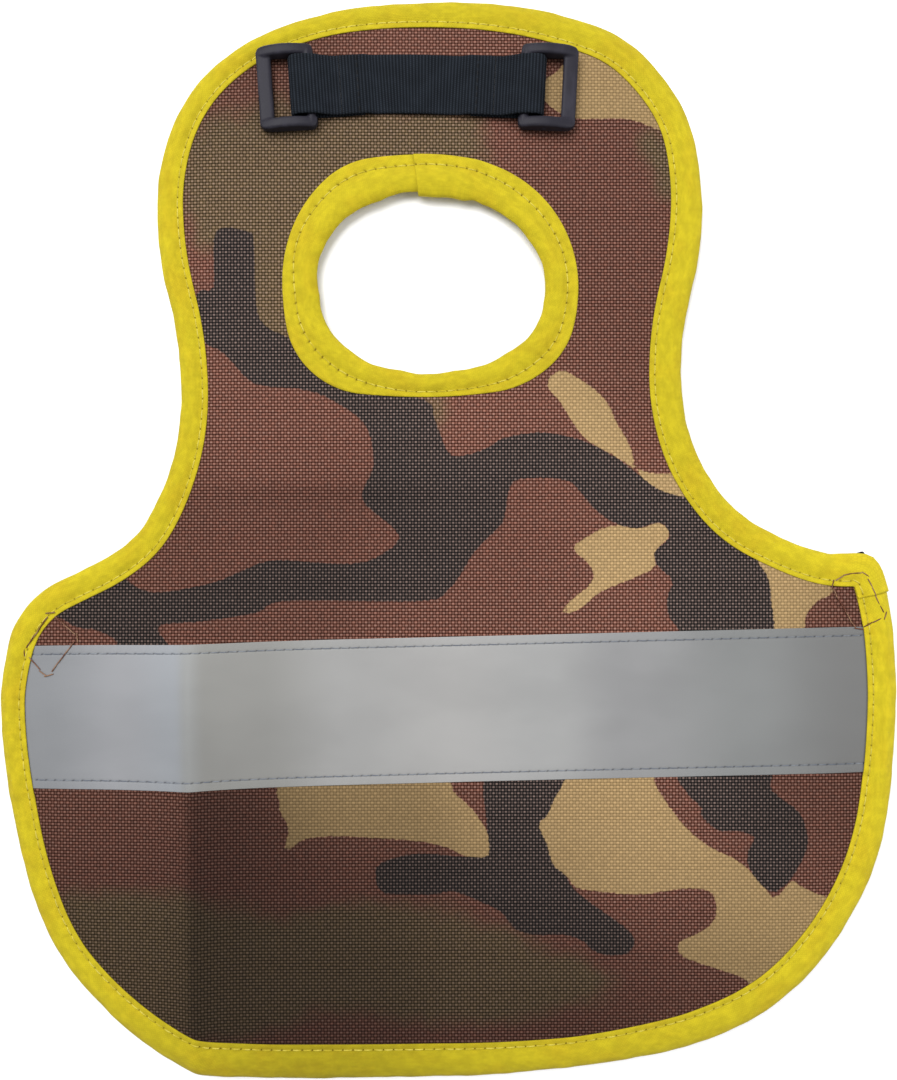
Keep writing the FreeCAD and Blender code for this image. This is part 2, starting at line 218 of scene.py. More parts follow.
# The reflective band, in mm, and its tilt in degrees.
BAND_MIDDLE = (0.0, -58.3)
BAND_TILT = 1.4
BAND_HALF_WIDTH = 25.0
BAND_THICK = 0.2
BAND_ROW = 22.0             # each stitch row from the band's middle line
BAND_BACK = -0.97           # the rows on the back, under the cloth's front
# Colour of the reflective band at shares of its length from its left end, with a painted reflection
# brightest near its middle and painted shade just right of the crease.
SILVER_WITH_PAINTED_SHINE = [
    (0.02, (0.176, 0.182, 0.192)), (0.114, (0.226, 0.23, 0.243)), (0.176, (0.228, 0.24, 0.258)),
    (0.192, (0.214, 0.218, 0.214)), (0.214, (0.186, 0.184, 0.172)), (0.272, (0.186, 0.184, 0.173)),
    (0.383, (0.252, 0.25, 0.245)), (0.5, (0.292, 0.287, 0.281)), (0.62, (0.278, 0.278, 0.275)),
    (0.707, (0.215, 0.215, 0.217)), (0.859, (0.165, 0.17, 0.168)), (0.98, (0.118, 0.118, 0.115)),
]


# ---- lines and distances ------------------------------------------------------------
def heading(degrees):
    """The unit vector at an angle from X."""
    return np.array([math.cos(math.radians(degrees)), math.sin(math.radians(degrees))])


def arc_points(start, direction, end, step):
    """Points along the arc that leaves start along direction and reaches end."""
    chord = end - start
    length = np.hypot(*chord)
    turn = math.atan2(chord[0] * direction[1] - chord[1] * direction[0], chord @ direction)
    f = np.linspace(0, 1, max(3, int(length / step) + 1))
    if abs(turn) < 1e-4:
        return start + f[:, None] * chord
    base = math.atan2(chord[1], chord[0])
    radius = length / (2 * math.sin(turn))
    angle = base + turn * (1 - 2 * f)
    x = -radius * (np.sin(angle) - math.sin(base + turn))
    y = radius * (np.cos(angle) - math.cos(base + turn))
    return start + np.stack([x, y], 1)


def smooth_loop(nodes):
    """Points of a closed line of tangent arcs, two from each node to the next, in mm."""
    step = 0.4
    runs = []
    for a, b in zip(nodes, nodes[1:] + nodes[:1]):
        p, q = np.array(a[:2], float), np.array(b[:2], float)
        t, u = heading(a[2]), heading(b[2])
        v = q - p
        ahead, turn = v @ (t + u), 2 * (1 - t @ u)
        reach = (v @ v) / (ahead + math.sqrt(ahead * ahead + turn * (v @ v)))
        joint = (p + q + (t - u) * reach) / 2
        runs.append(arc_points(p, t, joint, step)[:-1])
        runs.append(arc_points(q, -u, joint, step)[::-1][:-1])
    return np.concatenate(runs)


def curve_loop(points):
    """A closed smooth line through points."""
    per_span = 6
    p = np.array(points, float)
    before, after, later = np.roll(p, 1, 0), np.roll(p, -1, 0), np.roll(p, -2, 0)
    f = np.linspace(0, 1, per_span, endpoint=False)[None, :, None]
    p, before, after, later = (a[:, None, :] for a in (p, before, after, later))
    line = 0.5 * (2 * p + (after - before) * f
                  + (2 * before - 5 * p + 4 * after - later) * f ** 2
                  + (3 * p - before - 3 * after + later) * f ** 3)
    return line.reshape(-1, 2)


def along(points, closed=True):
    """Distance from the first point to each, and the whole length."""
    ends = np.concatenate([points, points[:1]]) if closed else points
    steps = np.linalg.norm(np.diff(ends, axis=0), axis=1)
    total = np.concatenate([[0], np.cumsum(steps)])
    return (total[:-1] if closed else total), total[-1]


def pace(row, steps, *lines):
    """Matching closed lines, stationed anew at even steps along row."""
    s, length = along(row)
    s = np.append(s, length)
    ask = np.arange(steps) * length / steps
    closed = [np.concatenate([line, line[:1]]) for line in lines]
    return [np.stack([np.interp(ask, s, line[:, i]) for i in (0, 1)], 1) for line in closed]


def resample(line, count):
    """Evenly spaced points along a closed line."""
    return pace(line, count, line)[0]


def right_normals(points):
    """Unit normals to the right of a closed line, which is inwards for a clockwise one."""
    t = np.roll(points, -1, 0) - np.roll(points, 1, 0)
    t /= np.linalg.norm(t, axis=1)[:, None]
    return np.stack([t[:, 1], -t[:, 0]], 1)


def distance_to(points, line):
    """Distance from each point to a closed line."""
    a, b = line, np.roll(line, -1, 0)
    ab = b - a
    best = np.full(len(points), 1e9)
    at_once = 4000
    for first in range(0, len(points), at_once):
        p = points[first:first + at_once, None, :]
        f = np.clip(((p - a) * ab).sum(2) / np.maximum((ab * ab).sum(1), 1e-12), 0, 1)
        d = np.linalg.norm(p - a - f[..., None] * ab, axis=2)
        best[first:first + at_once] = d.min(1)
    return best


def inside(points, line):
    """True where a point is inside a closed line."""
    x, y = points[:, 0:1], points[:, 1:2]
    x1, y1 = line[:, 0], line[:, 1]
    x2, y2 = np.roll(x1, -1), np.roll(y1, -1)
    spans = (y1 > y) != (y2 > y)
    slope = (x2 - x1) / np.where(y2 == y1, 1e-12, y2 - y1)
    return (spans & (x < x1 + slope * (y - y1))).sum(1) % 2 == 1


def signed_distance(points, line):
    """Distance to a closed line, negative inside it."""
    d = distance_to(points, line)
    return np.where(inside(points, line), -d, d)


def inset_loop(line, distance, count):
    """The line moved in by distance, one point for each of count stations along it.

    distance is one number, or one for each station."""
    base = resample(line, count)
    distance = np.broadcast_to(np.asarray(distance, float), (count,))
    moved = base + right_normals(base) * distance[:, None]
    good = distance_to(moved, base) > distance - 0.15
    index = np.arange(count)
    keep = index[good]
    wrapped = np.concatenate([keep - count, keep, keep + count])
    values = np.concatenate([moved[keep]] * 3)
    for axis in (0, 1):
        moved[:, axis] = np.interp(index, wrapped, values[:, axis])
    for _ in range(6):
        moved = 0.5 * moved + 0.25 * (np.roll(moved, 1, 0) + np.roll(moved, -1, 0))
    return base, moved


def nearest_station(line, x, y):
    """Index of the point of line that is nearest to a place."""
    return int(np.argmin(np.hypot(line[:, 0] - x, line[:, 1] - y)))


def widths_along(line):
    """The edge tape's width at each station of the outline, in mm."""
    marks = np.array([nearest_station(line, x, y) for x, y, _ in EDGE_TAPE_WIDTHS])
    order = np.argsort(marks)
    widths = np.array([w for _, _, w in EDGE_TAPE_WIDTHS])[order]
    return np.interp(np.arange(len(line)), marks[order], widths, period=len(line))


def smooth_step(x, low, high):
    """Goes smoothly from 0 at low to 1 at high."""
    t = np.clip((x - low) / (high - low), 0, 1)
    return t * t * (3 - 2 * t)


EDGE_LINE = smooth_loop(OUTLINE)
NECK_LINE = smooth_loop(NECK_EDGE)
COARSE_EDGE = resample(EDGE_LINE, 360)


def drape(points):
    """Height of the cloth over the flat frame at points in mm, in mm."""
    x, y = points[:, 0], points[:, 1]
    lower = smooth_step(-y, 20, 60)
    across = x - CREASE_X + 0.02 * y
    fall = np.where(across < 0, *CREASE_REACH)
    crease = CREASE_HEIGHT * np.exp(-(np.sqrt(across ** 2 + 2.0) - 1.4) / fall) * lower
    swell = 0.6 + 0.5 * (1 + np.sin(x / 31 + 0.6) * np.cos(y / 43 - 0.4))
    ripple = np.sin((0.55 * x - y) / 4.2) * np.exp(-((x - 74) / 26) ** 2 - ((y + 52) / 17) ** 2)
    step = smooth_step(STEP_Y + 0.04 * x - y, -8, 8)
    step = step * np.exp(-((x + 45) / 45) ** 2 - ((y - STEP_Y) / 26) ** 2)
    droop = 1 - smooth_step(distance_to(points, COARSE_EDGE), 0, DROOP_REACH)
    for cx, cy in STRAP_CORNERS:
        droop = droop * (1 - np.exp(-((x - cx) ** 2 + (y - cy) ** 2) / 32.0 ** 2))
    return crease + SWELL * swell + RIPPLE * ripple - STEP * step - EDGE_DROOP * droop


# ---- meshes --------------------------------------------------------------------------
def make_object(name, verts, faces, material):
    """A smooth-shaded mesh object from points in mm and faces."""
    mesh = bpy.data.meshes.new(name)
    mesh.from_pydata((np.asarray(verts, float) * MM).tolist(), [], faces)
    mesh.update()
    obj = bpy.data.objects.new(name, mesh)
    bpy.context.scene.collection.objects.link(obj)
    mesh.materials.append(material)
    mesh.shade_smooth()
    return obj


def set_vectors(obj, name, values):
    """Stores a vector for each point of the piece, for its material to read."""
    data = obj.data.attributes.new(name, "FLOAT_VECTOR", "POINT")
    data.data.foreach_set("vector", np.asarray(values, np.float32).ravel())


def set_numbers(obj, name, values):
    """Stores a number for each point of the piece, for its material to read."""
    data = obj.data.attributes.new(name, "FLOAT", "POINT")
    data.data.foreach_set("value", np.asarray(values, np.float32).ravel())


def face_outwards(obj):
    """Turns every face of a closed piece outwards."""
    bm = bmesh.new()
    bm.from_mesh(obj.data)
    bmesh.ops.recalc_face_normals(bm, faces=bm.faces)
    bm.to_mesh(obj.data)
    bm.free()


def sweep(name, rings, cloth, material):
    """A closed skin with capped ends through rings of points: stations, section points, 3.

    cloth gives where each point lies on the flat cloth, in metres."""
    stations, around = rings.shape[:2]
    index = np.arange(stations * around).reshape(stations, around)
    nxt = np.roll(index, -1, 1)
    faces = []
    for i in range(stations - 1):
        faces += np.stack([index[i], nxt[i], nxt[i + 1], index[i + 1]], 1).tolist()
    faces.append(index[0][::-1].tolist())
    faces.append(index[-1].tolist())
    obj = make_object(name, rings.reshape(-1, 3), faces, material)
    face_outwards(obj)
    set_vectors(obj, "cloth", cloth.reshape(-1, 3))
    return obj


def plain_copy(obj, name):
    """The evaluated mesh of an object as a new plain object; the old one is removed."""
    bpy.context.view_layer.update()
    graph = bpy.context.evaluated_depsgraph_get()
    mesh = bpy.data.meshes.new_from_object(obj.evaluated_get(graph), depsgraph=graph)
    mesh.name = name
    made = bpy.data.objects.new(name, mesh)
    bpy.context.scene.collection.objects.link(made)
    bpy.data.objects.remove(obj)
    made.name = name
    return made


# ---- materials -----------------------------------------------------------------------
def rgb(colour, times=1.0):
    """A colour, made lighter or darker, with the alpha that a socket wants."""
    return (colour[0] * times, colour[1] * times, colour[2] * times, 1.0)


class Finish:
    """A material with one Principled shader and short calls that add nodes."""

    def __init__(self, name, roughness, specular, sheen=0.0):
        self.material = bpy.data.materials.new(name)
        self.material.use_nodes = True
        self.tree = self.material.node_tree
        self.shader = self.tree.nodes["Principled BSDF"]
        self.shader.inputs["Roughness"].default_value = roughness
        self.shader.inputs["Sheen Weight"].default_value = sheen
        self.shader.inputs["Sheen Roughness"].default_value = 0.5
        self.shader.inputs["Specular IOR Level"].default_value = specular

    def put(self, socket, value):
        """Links a socket to the input, or sets the input's own value."""
        if isinstance(value, bpy.types.NodeSocket):
            self.tree.links.new(value, socket)
        elif value is not None:
            socket.default_value = value

    def math(self, operation, a, b=None, c=None, clamp=False):
        """One step of arithmetic on sockets and numbers."""
        node = self.tree.nodes.new("ShaderNodeMath")
        node.operation = operation
        node.use_clamp = clamp
        for socket, value in zip(node.inputs, (a, b, c)):
            self.put(socket, value)
        return node.outputs[0]

    def times(self, a, b, clamp=False):
        return self.math("MULTIPLY", a, b, clamp=clamp)

    def minus(self, a, b):
        return self.math("SUBTRACT", a, b)

    def scaled(self, value, by, plus):
        return self.math("MULTIPLY_ADD", value, by, plus)

    def mix(self, factor, a, b, blend="MIX"):
        """From colour a at factor 0 to colour b at factor 1."""
        node = self.tree.nodes.new("ShaderNodeMix")
        node.data_type = "RGBA"
        node.blend_type = blend
        self.put(node.inputs[0], factor)
        self.put(node.inputs[6], a)
        self.put(node.inputs[7], b)
        return node.outputs[2]

    def tint(self, colour, by):
        """A colour multiplied by another colour or a brightness."""
        return self.mix(1.0, colour, by, "MULTIPLY")

    def attribute(self, name, output="Vector"):
        """What the piece stores for each point under a name."""
        node = self.tree.nodes.new("ShaderNodeAttribute")
        node.attribute_name = name
        return node.outputs[output]

    def place(self):
        """The point on the piece, in metres."""
        return self.tree.nodes.new("ShaderNodeTexCoord").outputs["Object"]

    def split(self, vector):
        node = self.tree.nodes.new("ShaderNodeSeparateXYZ")
        self.put(node.inputs[0], vector)
        return node.outputs

    def noise(self, vector, scale, detail=3.0, roughness=0.55, stretch=(1, 1, 1)):
        """Cloudy noise from 0 to 1, with scale lumps to the metre."""
        spread = self.tree.nodes.new("ShaderNodeMapping")
        self.put(spread.inputs["Vector"], vector)
        spread.inputs["Scale"].default_value = stretch
        node = self.tree.nodes.new("ShaderNodeTexNoise")
        self.put(node.inputs["Vector"], spread.outputs[0])
        node.inputs["Scale"].default_value = scale
        node.inputs["Detail"].default_value = detail
        node.inputs["Roughness"].default_value = roughness
        return node.outputs["Fac"]

    def ramp(self, value, stops):
        """Colours by position; each stop is a position from 0 to 1 and a colour."""
        node = self.tree.nodes.new("ShaderNodeValToRGB")
        node.color_ramp.interpolation = "EASE"
        marks = node.color_ramp.elements
        while len(marks) < len(stops):
            marks.new(0.5)
        for mark, (place, colour) in zip(marks, stops):
            mark.position = place
            mark.color = rgb(colour)
        self.put(node.inputs[0], value)
        return node.outputs[0]

    def span(self, value, low, high, to_low=0.0, to_high=1.0, linear=False):
        """value from low to high becomes to_low to to_high, and stays within them."""
        node = self.tree.nodes.new("ShaderNodeMapRange")
        node.interpolation_type = "LINEAR" if linear else "SMOOTHSTEP"
        for socket, v in zip(node.inputs, (value, low, high, to_low, to_high)):
            self.put(socket, v)
        return node.outputs[0]

    def bump(self, height, depth, strength=1.0, below=None):
        """A surface normal raised by height, at most depth metres, over the one below."""
        node = self.tree.nodes.new("ShaderNodeBump")
        self.put(node.inputs["Height"], height)
        node.inputs["Distance"].default_value = depth
        node.inputs["Strength"].default_value = strength
        if below is not None:
            self.put(node.inputs["Normal"], below)
        return node.outputs[0]

    def weave(self, vector, pitch):
        """A plain weave: over (1 where the lengthwise yarn is on top), crown and gap."""
        x, y, _ = self.split(vector)
        u, v = (self.math("DIVIDE", c, pitch) for c in (x, y))
        parity = self.math("ADD", self.math("FLOOR", u), self.math("FLOOR", v))
        over = self.math("PINGPONG", parity, 1.0)
        du = self.math("ABSOLUTE", self.minus(self.math("FRACT", u), 0.5))
        dv = self.math("ABSOLUTE", self.minus(self.math("FRACT", v), 0.5))
        low = self.math("ADD", self.times(over, du), self.times(self.minus(1.0, over), dv))
        high = self.minus(self.math("ADD", du, dv), low)
        yarn = self.scaled(self.times(low, low), -2.6, 1.0)
        bend = self.scaled(self.times(high, high), -1.7, 1.0)
        crown = self.times(yarn, bend, clamp=True)
        gap = self.span(self.math("ADD", du, dv), 0.66, 0.96)
        return over, crown, gap

    def finish(self, colour, normal, roughness=None):
        """The material, with its colour and surface joined to the shader."""
        self.put(self.shader.inputs["Base Color"], colour)
        self.put(self.shader.inputs["Normal"], normal)
        if roughness is not None:
            self.put(self.shader.inputs["Roughness"], roughness)
        return self.material


def camouflage_material(looks):
    """Coarse printed weave: patches with slightly ragged edges, pale yarn crowns with a painted
    highlight, and painted shade.
    """
    f = Finish("camouflage_weave", 0.85, 0.12)
    cloth = f.attribute("cloth")
    over, crown, gap = f.weave(cloth, looks.weave_pitch)
    ragged = f.minus(f.noise(cloth, 900, 1.0), 0.5)
    base = f.mix(f.noise(cloth, 14, 2.0), rgb(looks.brown, 1.08), rgb(looks.brown, 0.88))
    cloudy = f.scaled(f.minus(f.noise(cloth, 60, 4.0), 0.5), 0.016,
                      f.attribute("olive_edge", "Fac"))
    olive = f.span(cloudy, 0.005, -0.005, 0.0, 0.95)
    colour = f.mix(olive, base, rgb(looks.olive))
    for name, paint in (("tan_edge", looks.tan), ("black_edge", looks.black)):
        edge = f.scaled(ragged, 0.0012, f.attribute(name, "Fac"))
        colour = f.mix(f.span(edge, 0.00025, -0.00025), colour, rgb(paint))
    tan = f.span(f.attribute("tan_edge", "Fac"), 0.0002, -0.0002)
    black = f.span(f.attribute("black_edge", "Fac"), 0.0002, -0.0002)
    tan = f.times(tan, f.minus(1.0, black))
    soft = f.scaled(tan, -0.65, 1.0)
    yarns = f.span(f.noise(cloth, 420, 2.0, 0.6, (1.0, 2.2, 1)), 0.25, 0.75, 0.75, 1.25)
    weft = f.minus(1.0, over)
    facing = f.scaled(weft, looks.weft_lift * 2, 1.0 - looks.weft_lift)
    # Painted light on the yarn crowns and painted shade on their sides, with random tone from yarn
    # to yarn.
    painted_shading = f.times(f.span(crown, 0.12, 0.9, 0.06, 1.75), yarns)
    painted_shading = f.times(painted_shading, facing)
    painted_shading = f.scaled(f.minus(painted_shading, 1.0), soft, 1.0)
    colour = f.tint(colour, painted_shading)
    # Pale unprinted weft crowns, with a painted highlight on them.
    peak = f.times(f.span(crown, 0.6, 0.96), f.scaled(weft, 0.6, 0.4))
    pale_crown_and_highlight = f.span(f.noise(cloth, 640, 1.0), 0.3, 0.75, 0.6, 1.0)
    light = f.times(f.times(peak, pale_crown_and_highlight), looks.pale_crown_and_highlight)
    light = f.times(light, f.scaled(tan, -0.75, 1.0))
    colour = f.mix(light, colour, rgb(looks.pale_crown_and_highlight_colour))
    # Painted shade and light over the cloth: darker towards the bottom, at the crease and under the
    # step.
    colour = f.tint(colour, f.attribute("tone", "Fac"))
    # Painted shade in the gaps between yarns and between rows.
    rows = f.math("DIVIDE", f.split(cloth)[1], looks.weave_pitch)
    rows = f.math("ABSOLUTE", f.minus(f.math("FRACT", rows), 0.5))
    between = f.math("MAXIMUM", gap, f.times(f.span(rows, 0.28, 0.5), 0.6))
    painted_gap_shade = f.times(f.times(between, 0.85), soft)
    colour = f.mix(painted_gap_shade, colour, (0.003, 0.002, 0.002, 1))
    normal = f.bump(crown, 0.00024, 0.9)
    return f.finish(colour, normal)


def lining_material(looks):
    """Fine plain dark weave, with painted shade in the gaps between yarns."""
    f = Finish("lining_weave", 0.85, 0.12)
    cloth = f.attribute("cloth")
    _, crown, gap = f.weave(cloth, LINING_YARN)
    tone = f.mix(f.noise(cloth, 60, 4.0), rgb(looks.lining), rgb(looks.lining, 1.5))
    # Painted shade in the gaps between yarns.
    colour = f.mix(f.times(gap, 0.7), tone, (0.004, 0.004, 0.004, 1))
    return f.finish(colour, f.bump(crown, 0.00008, 0.8))


def tape_material(looks):
    """Folded cotton-like tape: fine weave, warm blotches, cross wrinkles, needle holes, painted
    light and shade.
    """
    f = Finish("folded_tape", 0.85, 0.12, sheen=0.04)
    cloth = f.attribute("cloth")
    over, crown, gap = f.weave(cloth, TAPE_YARN)
    mottle = f.noise(cloth, 90, 4.0, 0.6, (0.6, 1, 1))
    warm = f.mix(f.span(mottle, 0.4, 0.75), rgb(looks.yellow), rgb(looks.yellow_warm))
    # Streaks of random tone, with the painted light and shade of soft wrinkles.
    streak_and_wrinkle_shading = f.span(f.noise(cloth, 420, 3.0, 0.65, (0.5, 1, 1)), 0.3, 0.75, 0.86, 1.09)
    tone = f.tint(warm, streak_and_wrinkle_shading)
    tone = f.tint(tone, f.scaled(over, 0.07, 0.965))
    # Painted light and shade over the tape: darker at the bottom, lighter at the sides.
    tone = f.tint(tone, f.attribute("tone", "Fac"))
    # Painted shade in the gaps between yarns.
    colour = f.mix(f.times(gap, 0.3), tone, (0.14, 0.1, 0.0, 1))
    # Painted shade in the needle holes.
    hole = f.times(f.attribute("hole", "Fac"), 0.95, clamp=True)
    colour = f.mix(hole, colour, (0.1, 0.065, 0.002, 1))
    fine = f.bump(crown, 0.00007, 0.8)
    wrinkles = f.noise(cloth, 330, 2.0, 0.5, (1.0, 0.35, 1))
    folds = f.bump(wrinkles, 0.0006, 0.5, fine)
    return f.finish(colour, f.bump(f.noise(cloth, 1100, 3.0), 0.00014, 0.4, folds))


def thread_material(name, colour, other):
    """Sewing thread: a fine dark grain, and a tone that drifts from colour to other."""
    f = Finish(name, 0.7, 0.2)
    place = f.place()
    ply = f.noise(place, 2600, 2.0)
    patch = f.noise(place, 240, 1.0)
    tone = f.mix(f.span(patch, 0.4, 0.62), rgb(colour), rgb(other))
    tone = f.mix(f.span(ply, 0.35, 0.7, 0.0, 0.35), tone, rgb(colour, 0.4))
    return f.finish(tone, f.bump(ply, 0.00008, 0.8))


def reflective_material():
    """Silver tape: fine grain of glass beads, with a painted reflection brightest near its middle.
    """
    f = Finish("glass_bead_tape", 0.55, 0.3)
    f.shader.inputs["Metallic"].default_value = 0.2
    cloth = f.attribute("cloth")
    x = f.split(cloth)[0]
    beads = f.noise(cloth, 5200, 1.0)
    rub = f.noise(cloth, 26, 4.0, 0.55, (0.6, 1.3, 1))
    # Painted reflection and shade along the band, from its left end to its right.
    tone = f.ramp(f.span(x, -0.145, 0.145, linear=True), SILVER_WITH_PAINTED_SHINE)
    shade = f.span(rub, 0.3, 0.7, 0.93, 1.05)
    tone = f.tint(tone, shade)
    tone = f.mix(f.span(beads, 0.3, 0.7, 0.0, 0.08), tone, (0.8, 0.82, 0.85, 1))
    # Painted shade in the needle holes.
    hole = f.times(f.attribute("hole", "Fac"), 0.9)
    tone = f.mix(hole, tone, (0.02, 0.024, 0.035, 1))
    gloss = f.span(rub, 0.3, 0.75, 0.48, 0.6)
    return f.finish(tone, f.bump(beads, 0.00003, 0.4), gloss)


def webbing_material(looks):
    """Ribbed black webbing: yarns that wrap each rib with a painted highlight, and painted shade in
    the grooves between ribs.
    """
    f = Finish("ribbed_webbing", 0.8, 0.06)
    cloth = f.attribute("cloth")
    s, t, _ = f.split(cloth)
    yarn = f.math("SINE", f.times(f.scaled(s, 0.35, t), 9000.0))
    ribs = f.math("COSINE", f.times(s, 2 * math.pi / looks.rib_pitch))
    fade = f.noise(cloth, 150, 4.0)
    tone = f.mix(f.span(fade, 0.3, 0.8), rgb(looks.webbing), rgb(looks.webbing, 1.5))
    # Painted shade in the grooves and painted light on the ribs.
    painted_rib_shading = f.span(ribs, -0.9, 0.9, 0.55, 1.25)
    tone = f.tint(tone, painted_rib_shading)
    # Painted highlight on the yarns over each rib.
    painted_shading = f.times(f.span(yarn, -0.2, 1.0), f.span(ribs, -0.2, 0.9))
    tone = f.mix(f.times(painted_shading, 0.16), tone, (0.06, 0.07, 0.085, 1))
    normal = f.bump(yarn, 0.00003, 0.8)
    return f.finish(tone, normal)


def plastic_material(looks):
    """Moulded plastic with a fine spark texture, rubbed lighter and duller in streaks."""
    f = Finish("moulded_plastic", 0.5, 0.1)
    place = f.place()
    grain = f.noise(place, 3800, 2.0)
    scuff = f.noise(place, 220, 5.0, 0.65, (1, 0.35, 1))
    tone = f.mix(f.span(scuff, 0.45, 0.75), rgb(looks.plastic), rgb(looks.plastic, 1.5))
    gloss = f.span(scuff, 0.3, 0.8, 0.36, 0.52)
    return f.finish(tone, f.bump(grain, 0.00003, 0.5), gloss)


def floor_material(stage):
    """Pale paper with a slight grain."""
    f = Finish("floor_paper", 0.9, 0.2)
    place = f.place()
    tone = f.mix(f.noise(place, 8, 3.0), rgb(stage.floor), rgb(stage.floor, 0.985))
    return f.finish(tone, f.bump(f.noise(place, 1500, 3.0), 0.00005, 0.3))


# ---- stitches ------------------------------------------------------------------------
def stitch_tree():
    """Node tree that lays one short arched thread at each even step along a line."""
    tree = bpy.data.node_groups.get("stitch_row")
    if tree:
        return tree
    tree = bpy.data.node_groups.new("stitch_row", "GeometryNodeTree")
    sockets = (("Geometry", "Geometry"), ("Stitches", "Int"), ("Stitch Length", "Float"),
               ("Thread Radius", "Float"), ("Rise", "Float"), ("Wander", "Float"),
               ("Seed", "Int"), ("Thread", "Material"))
    for name, kind in sockets:
        tree.interface.new_socket(name, in_out="INPUT", socket_type="NodeSocket" + kind)
    tree.interface.new_socket("Geometry", in_out="OUTPUT", socket_type="NodeSocketGeometry")
    given = tree.nodes.new("NodeGroupInput").outputs

    def add(kind, inputs, **settings):
        """Adds a node with its settings and inputs, and gives back its first output."""
        node = tree.nodes.new(kind)
        for key, value in settings.items():
            setattr(node, key, value)
        for key, value in inputs.items():
            if isinstance(value, bpy.types.NodeSocket):
                tree.links.new(value, node.inputs[key])
            else:
                node.inputs[key].default_value = value
        return node.outputs[0]

    def times(socket, factor):
        return add("ShaderNodeMath", {0: socket, 1: factor}, operation="MULTIPLY")

    def spot(x, z):
        return add("ShaderNodeCombineXYZ", {"X": x, "Z": z})

    # One stitch: a round thread along an arch whose ends dip into the cloth.
    dip, top = times(given["Rise"], -1.3), times(given["Rise"], 2.1)
    arch = add("GeometryNodeCurveQuadraticBezier", {
        "Resolution": 6, "Start": spot(times(given["Stitch Length"], -0.5), dip),
        "Middle": spot(0.0, top), "End": spot(times(given["Stitch Length"], 0.5), dip)})
    ring = add("GeometryNodeCurvePrimitiveCircle",
               {"Resolution": 6, "Radius": given["Thread Radius"]})
    skin = add("GeometryNodeCurveToMesh",
               {"Curve": arch, "Profile Curve": ring, "Fill Caps": True})

    # It lies along the line, turned by a small chance angle either way.
    steps = add("GeometryNodeResampleCurve",
                {"Curve": given["Geometry"], "Count": given["Stitches"]})
    turn = add("FunctionNodeAlignRotationToVector",
               {"Vector": add("GeometryNodeInputTangent", {})}, axis="X", pivot_axis="Z")
    wander = spot(0.0, given["Wander"])
    least = add("ShaderNodeVectorMath", {0: wander, "Scale": -1.0}, operation="SCALE")
    stray = add("FunctionNodeRandomValue", {0: least, 1: wander, "Seed": given["Seed"]},
                data_type="FLOAT_VECTOR")
    stray = add("FunctionNodeEulerToRotation", {0: stray})
    lay = add("GeometryNodeInstanceOnPoints", {
        "Points": steps, "Instance": skin,
        "Rotation": add("FunctionNodeRotateRotation", {0: turn, 1: stray})})
    paint = add("GeometryNodeSetMaterial", {
        "Geometry": add("GeometryNodeRealizeInstances", {0: lay}), "Material": given["Thread"]})
    tree.links.new(paint, tree.nodes.new("NodeGroupOutput").inputs[0])
    return tree


def stitch_count(total, length, closed):
    """How many stitches of about a length fill a line."""
    return int(round(total / length)) + (0 if closed else 1)


def sew(name, line, closed, looks, length, material, rise=0.16, radius=None, wander=0.06,
        share=0.8):
    """Stitches along a line of points in mm; returns a plain mesh object.

    share is how much of each stitch's length the thread shows."""
    curve = bpy.data.curves.new(name + "_line", "CURVE")
    curve.dimensions = "3D"
    spline = curve.splines.new("POLY")
    spline.points.add(len(line) - 1)
    spline.points.foreach_set("co", np.column_stack([line * MM, np.ones(len(line))]).ravel())
    spline.use_cyclic_u = closed
    obj = bpy.data.objects.new(name + "_line", curve)
    bpy.context.scene.collection.objects.link(obj)
    tree = stitch_tree()
    modifier = obj.modifiers.new("stitches", "NODES")
    modifier.node_group = tree
    count = stitch_count(along(line, closed)[1], length, closed)
    values = {"Stitches": count, "Stitch Length": share * length * MM,
              "Thread Radius": radius or looks.thread_radius, "Rise": rise * MM,
              "Wander": wander, "Seed": SEED, "Thread": material}
    for item in tree.interface.items_tree:
        if item.item_type == "SOCKET" and item.in_out == "INPUT" and item.name in values:
            modifier[item.identifier] = values[item.name]
    made = plain_copy(obj, name)
    made.data.shade_smooth()
    return made


# ---- cloth ---------------------------------------------------------------------------
def flat_panel(spacing, outer, hole):
    """Points in mm and triangles that fill outer and leave out hole."""
    count_out = int(along(outer)[1] / spacing)
    count_in = int(along(hole)[1] / spacing)
    rim, lip = resample(outer, count_out), resample(hole, count_in)
    xs = np.arange(-160, 160, spacing)
    ys = np.arange(-190, 190, spacing * 0.866)
    gx, gy = np.meshgrid(xs, ys)
    gx = gx + (np.arange(len(ys)) % 2)[:, None] * spacing / 2
    grid = np.stack([gx.ravel(), gy.ravel()], 1)
    grid = grid[inside(grid, rim) & ~inside(grid, lip)]
    clear = np.minimum(distance_to(grid, rim), distance_to(grid, lip)) > 0.6 * spacing
    grid = grid[clear]
    points = np.concatenate([rim, lip, grid])
    edges = [(i, (i + 1) % count_out) for i in range(count_out)]
    edges += [(count_out + i, count_out + (i + 1) % count_in) for i in range(count_in)]
    # 1 keeps the triangles within the two lines.
    found = geometry.delaunay_2d_cdt([Vector(p) for p in points], edges, [], 1, 1e-5)
    verts = np.array([v[:] for v in found[0]])
    tris = np.array([f for f in found[2] if len(f) == 3])
    middle = verts[tris].mean(1)
    tris = tris[~inside(middle, lip) & inside(middle, rim)]
    a, b, c = (verts[tris[:, i]] for i in range(3))
    turn = (b[:, 0] - a[:, 0]) * (c[:, 1] - a[:, 1]) - (b[:, 1] - a[:, 1]) * (c[:, 0] - a[:, 0])
    tris[turn < 0] = tris[turn < 0][:, ::-1]
    return verts, tris


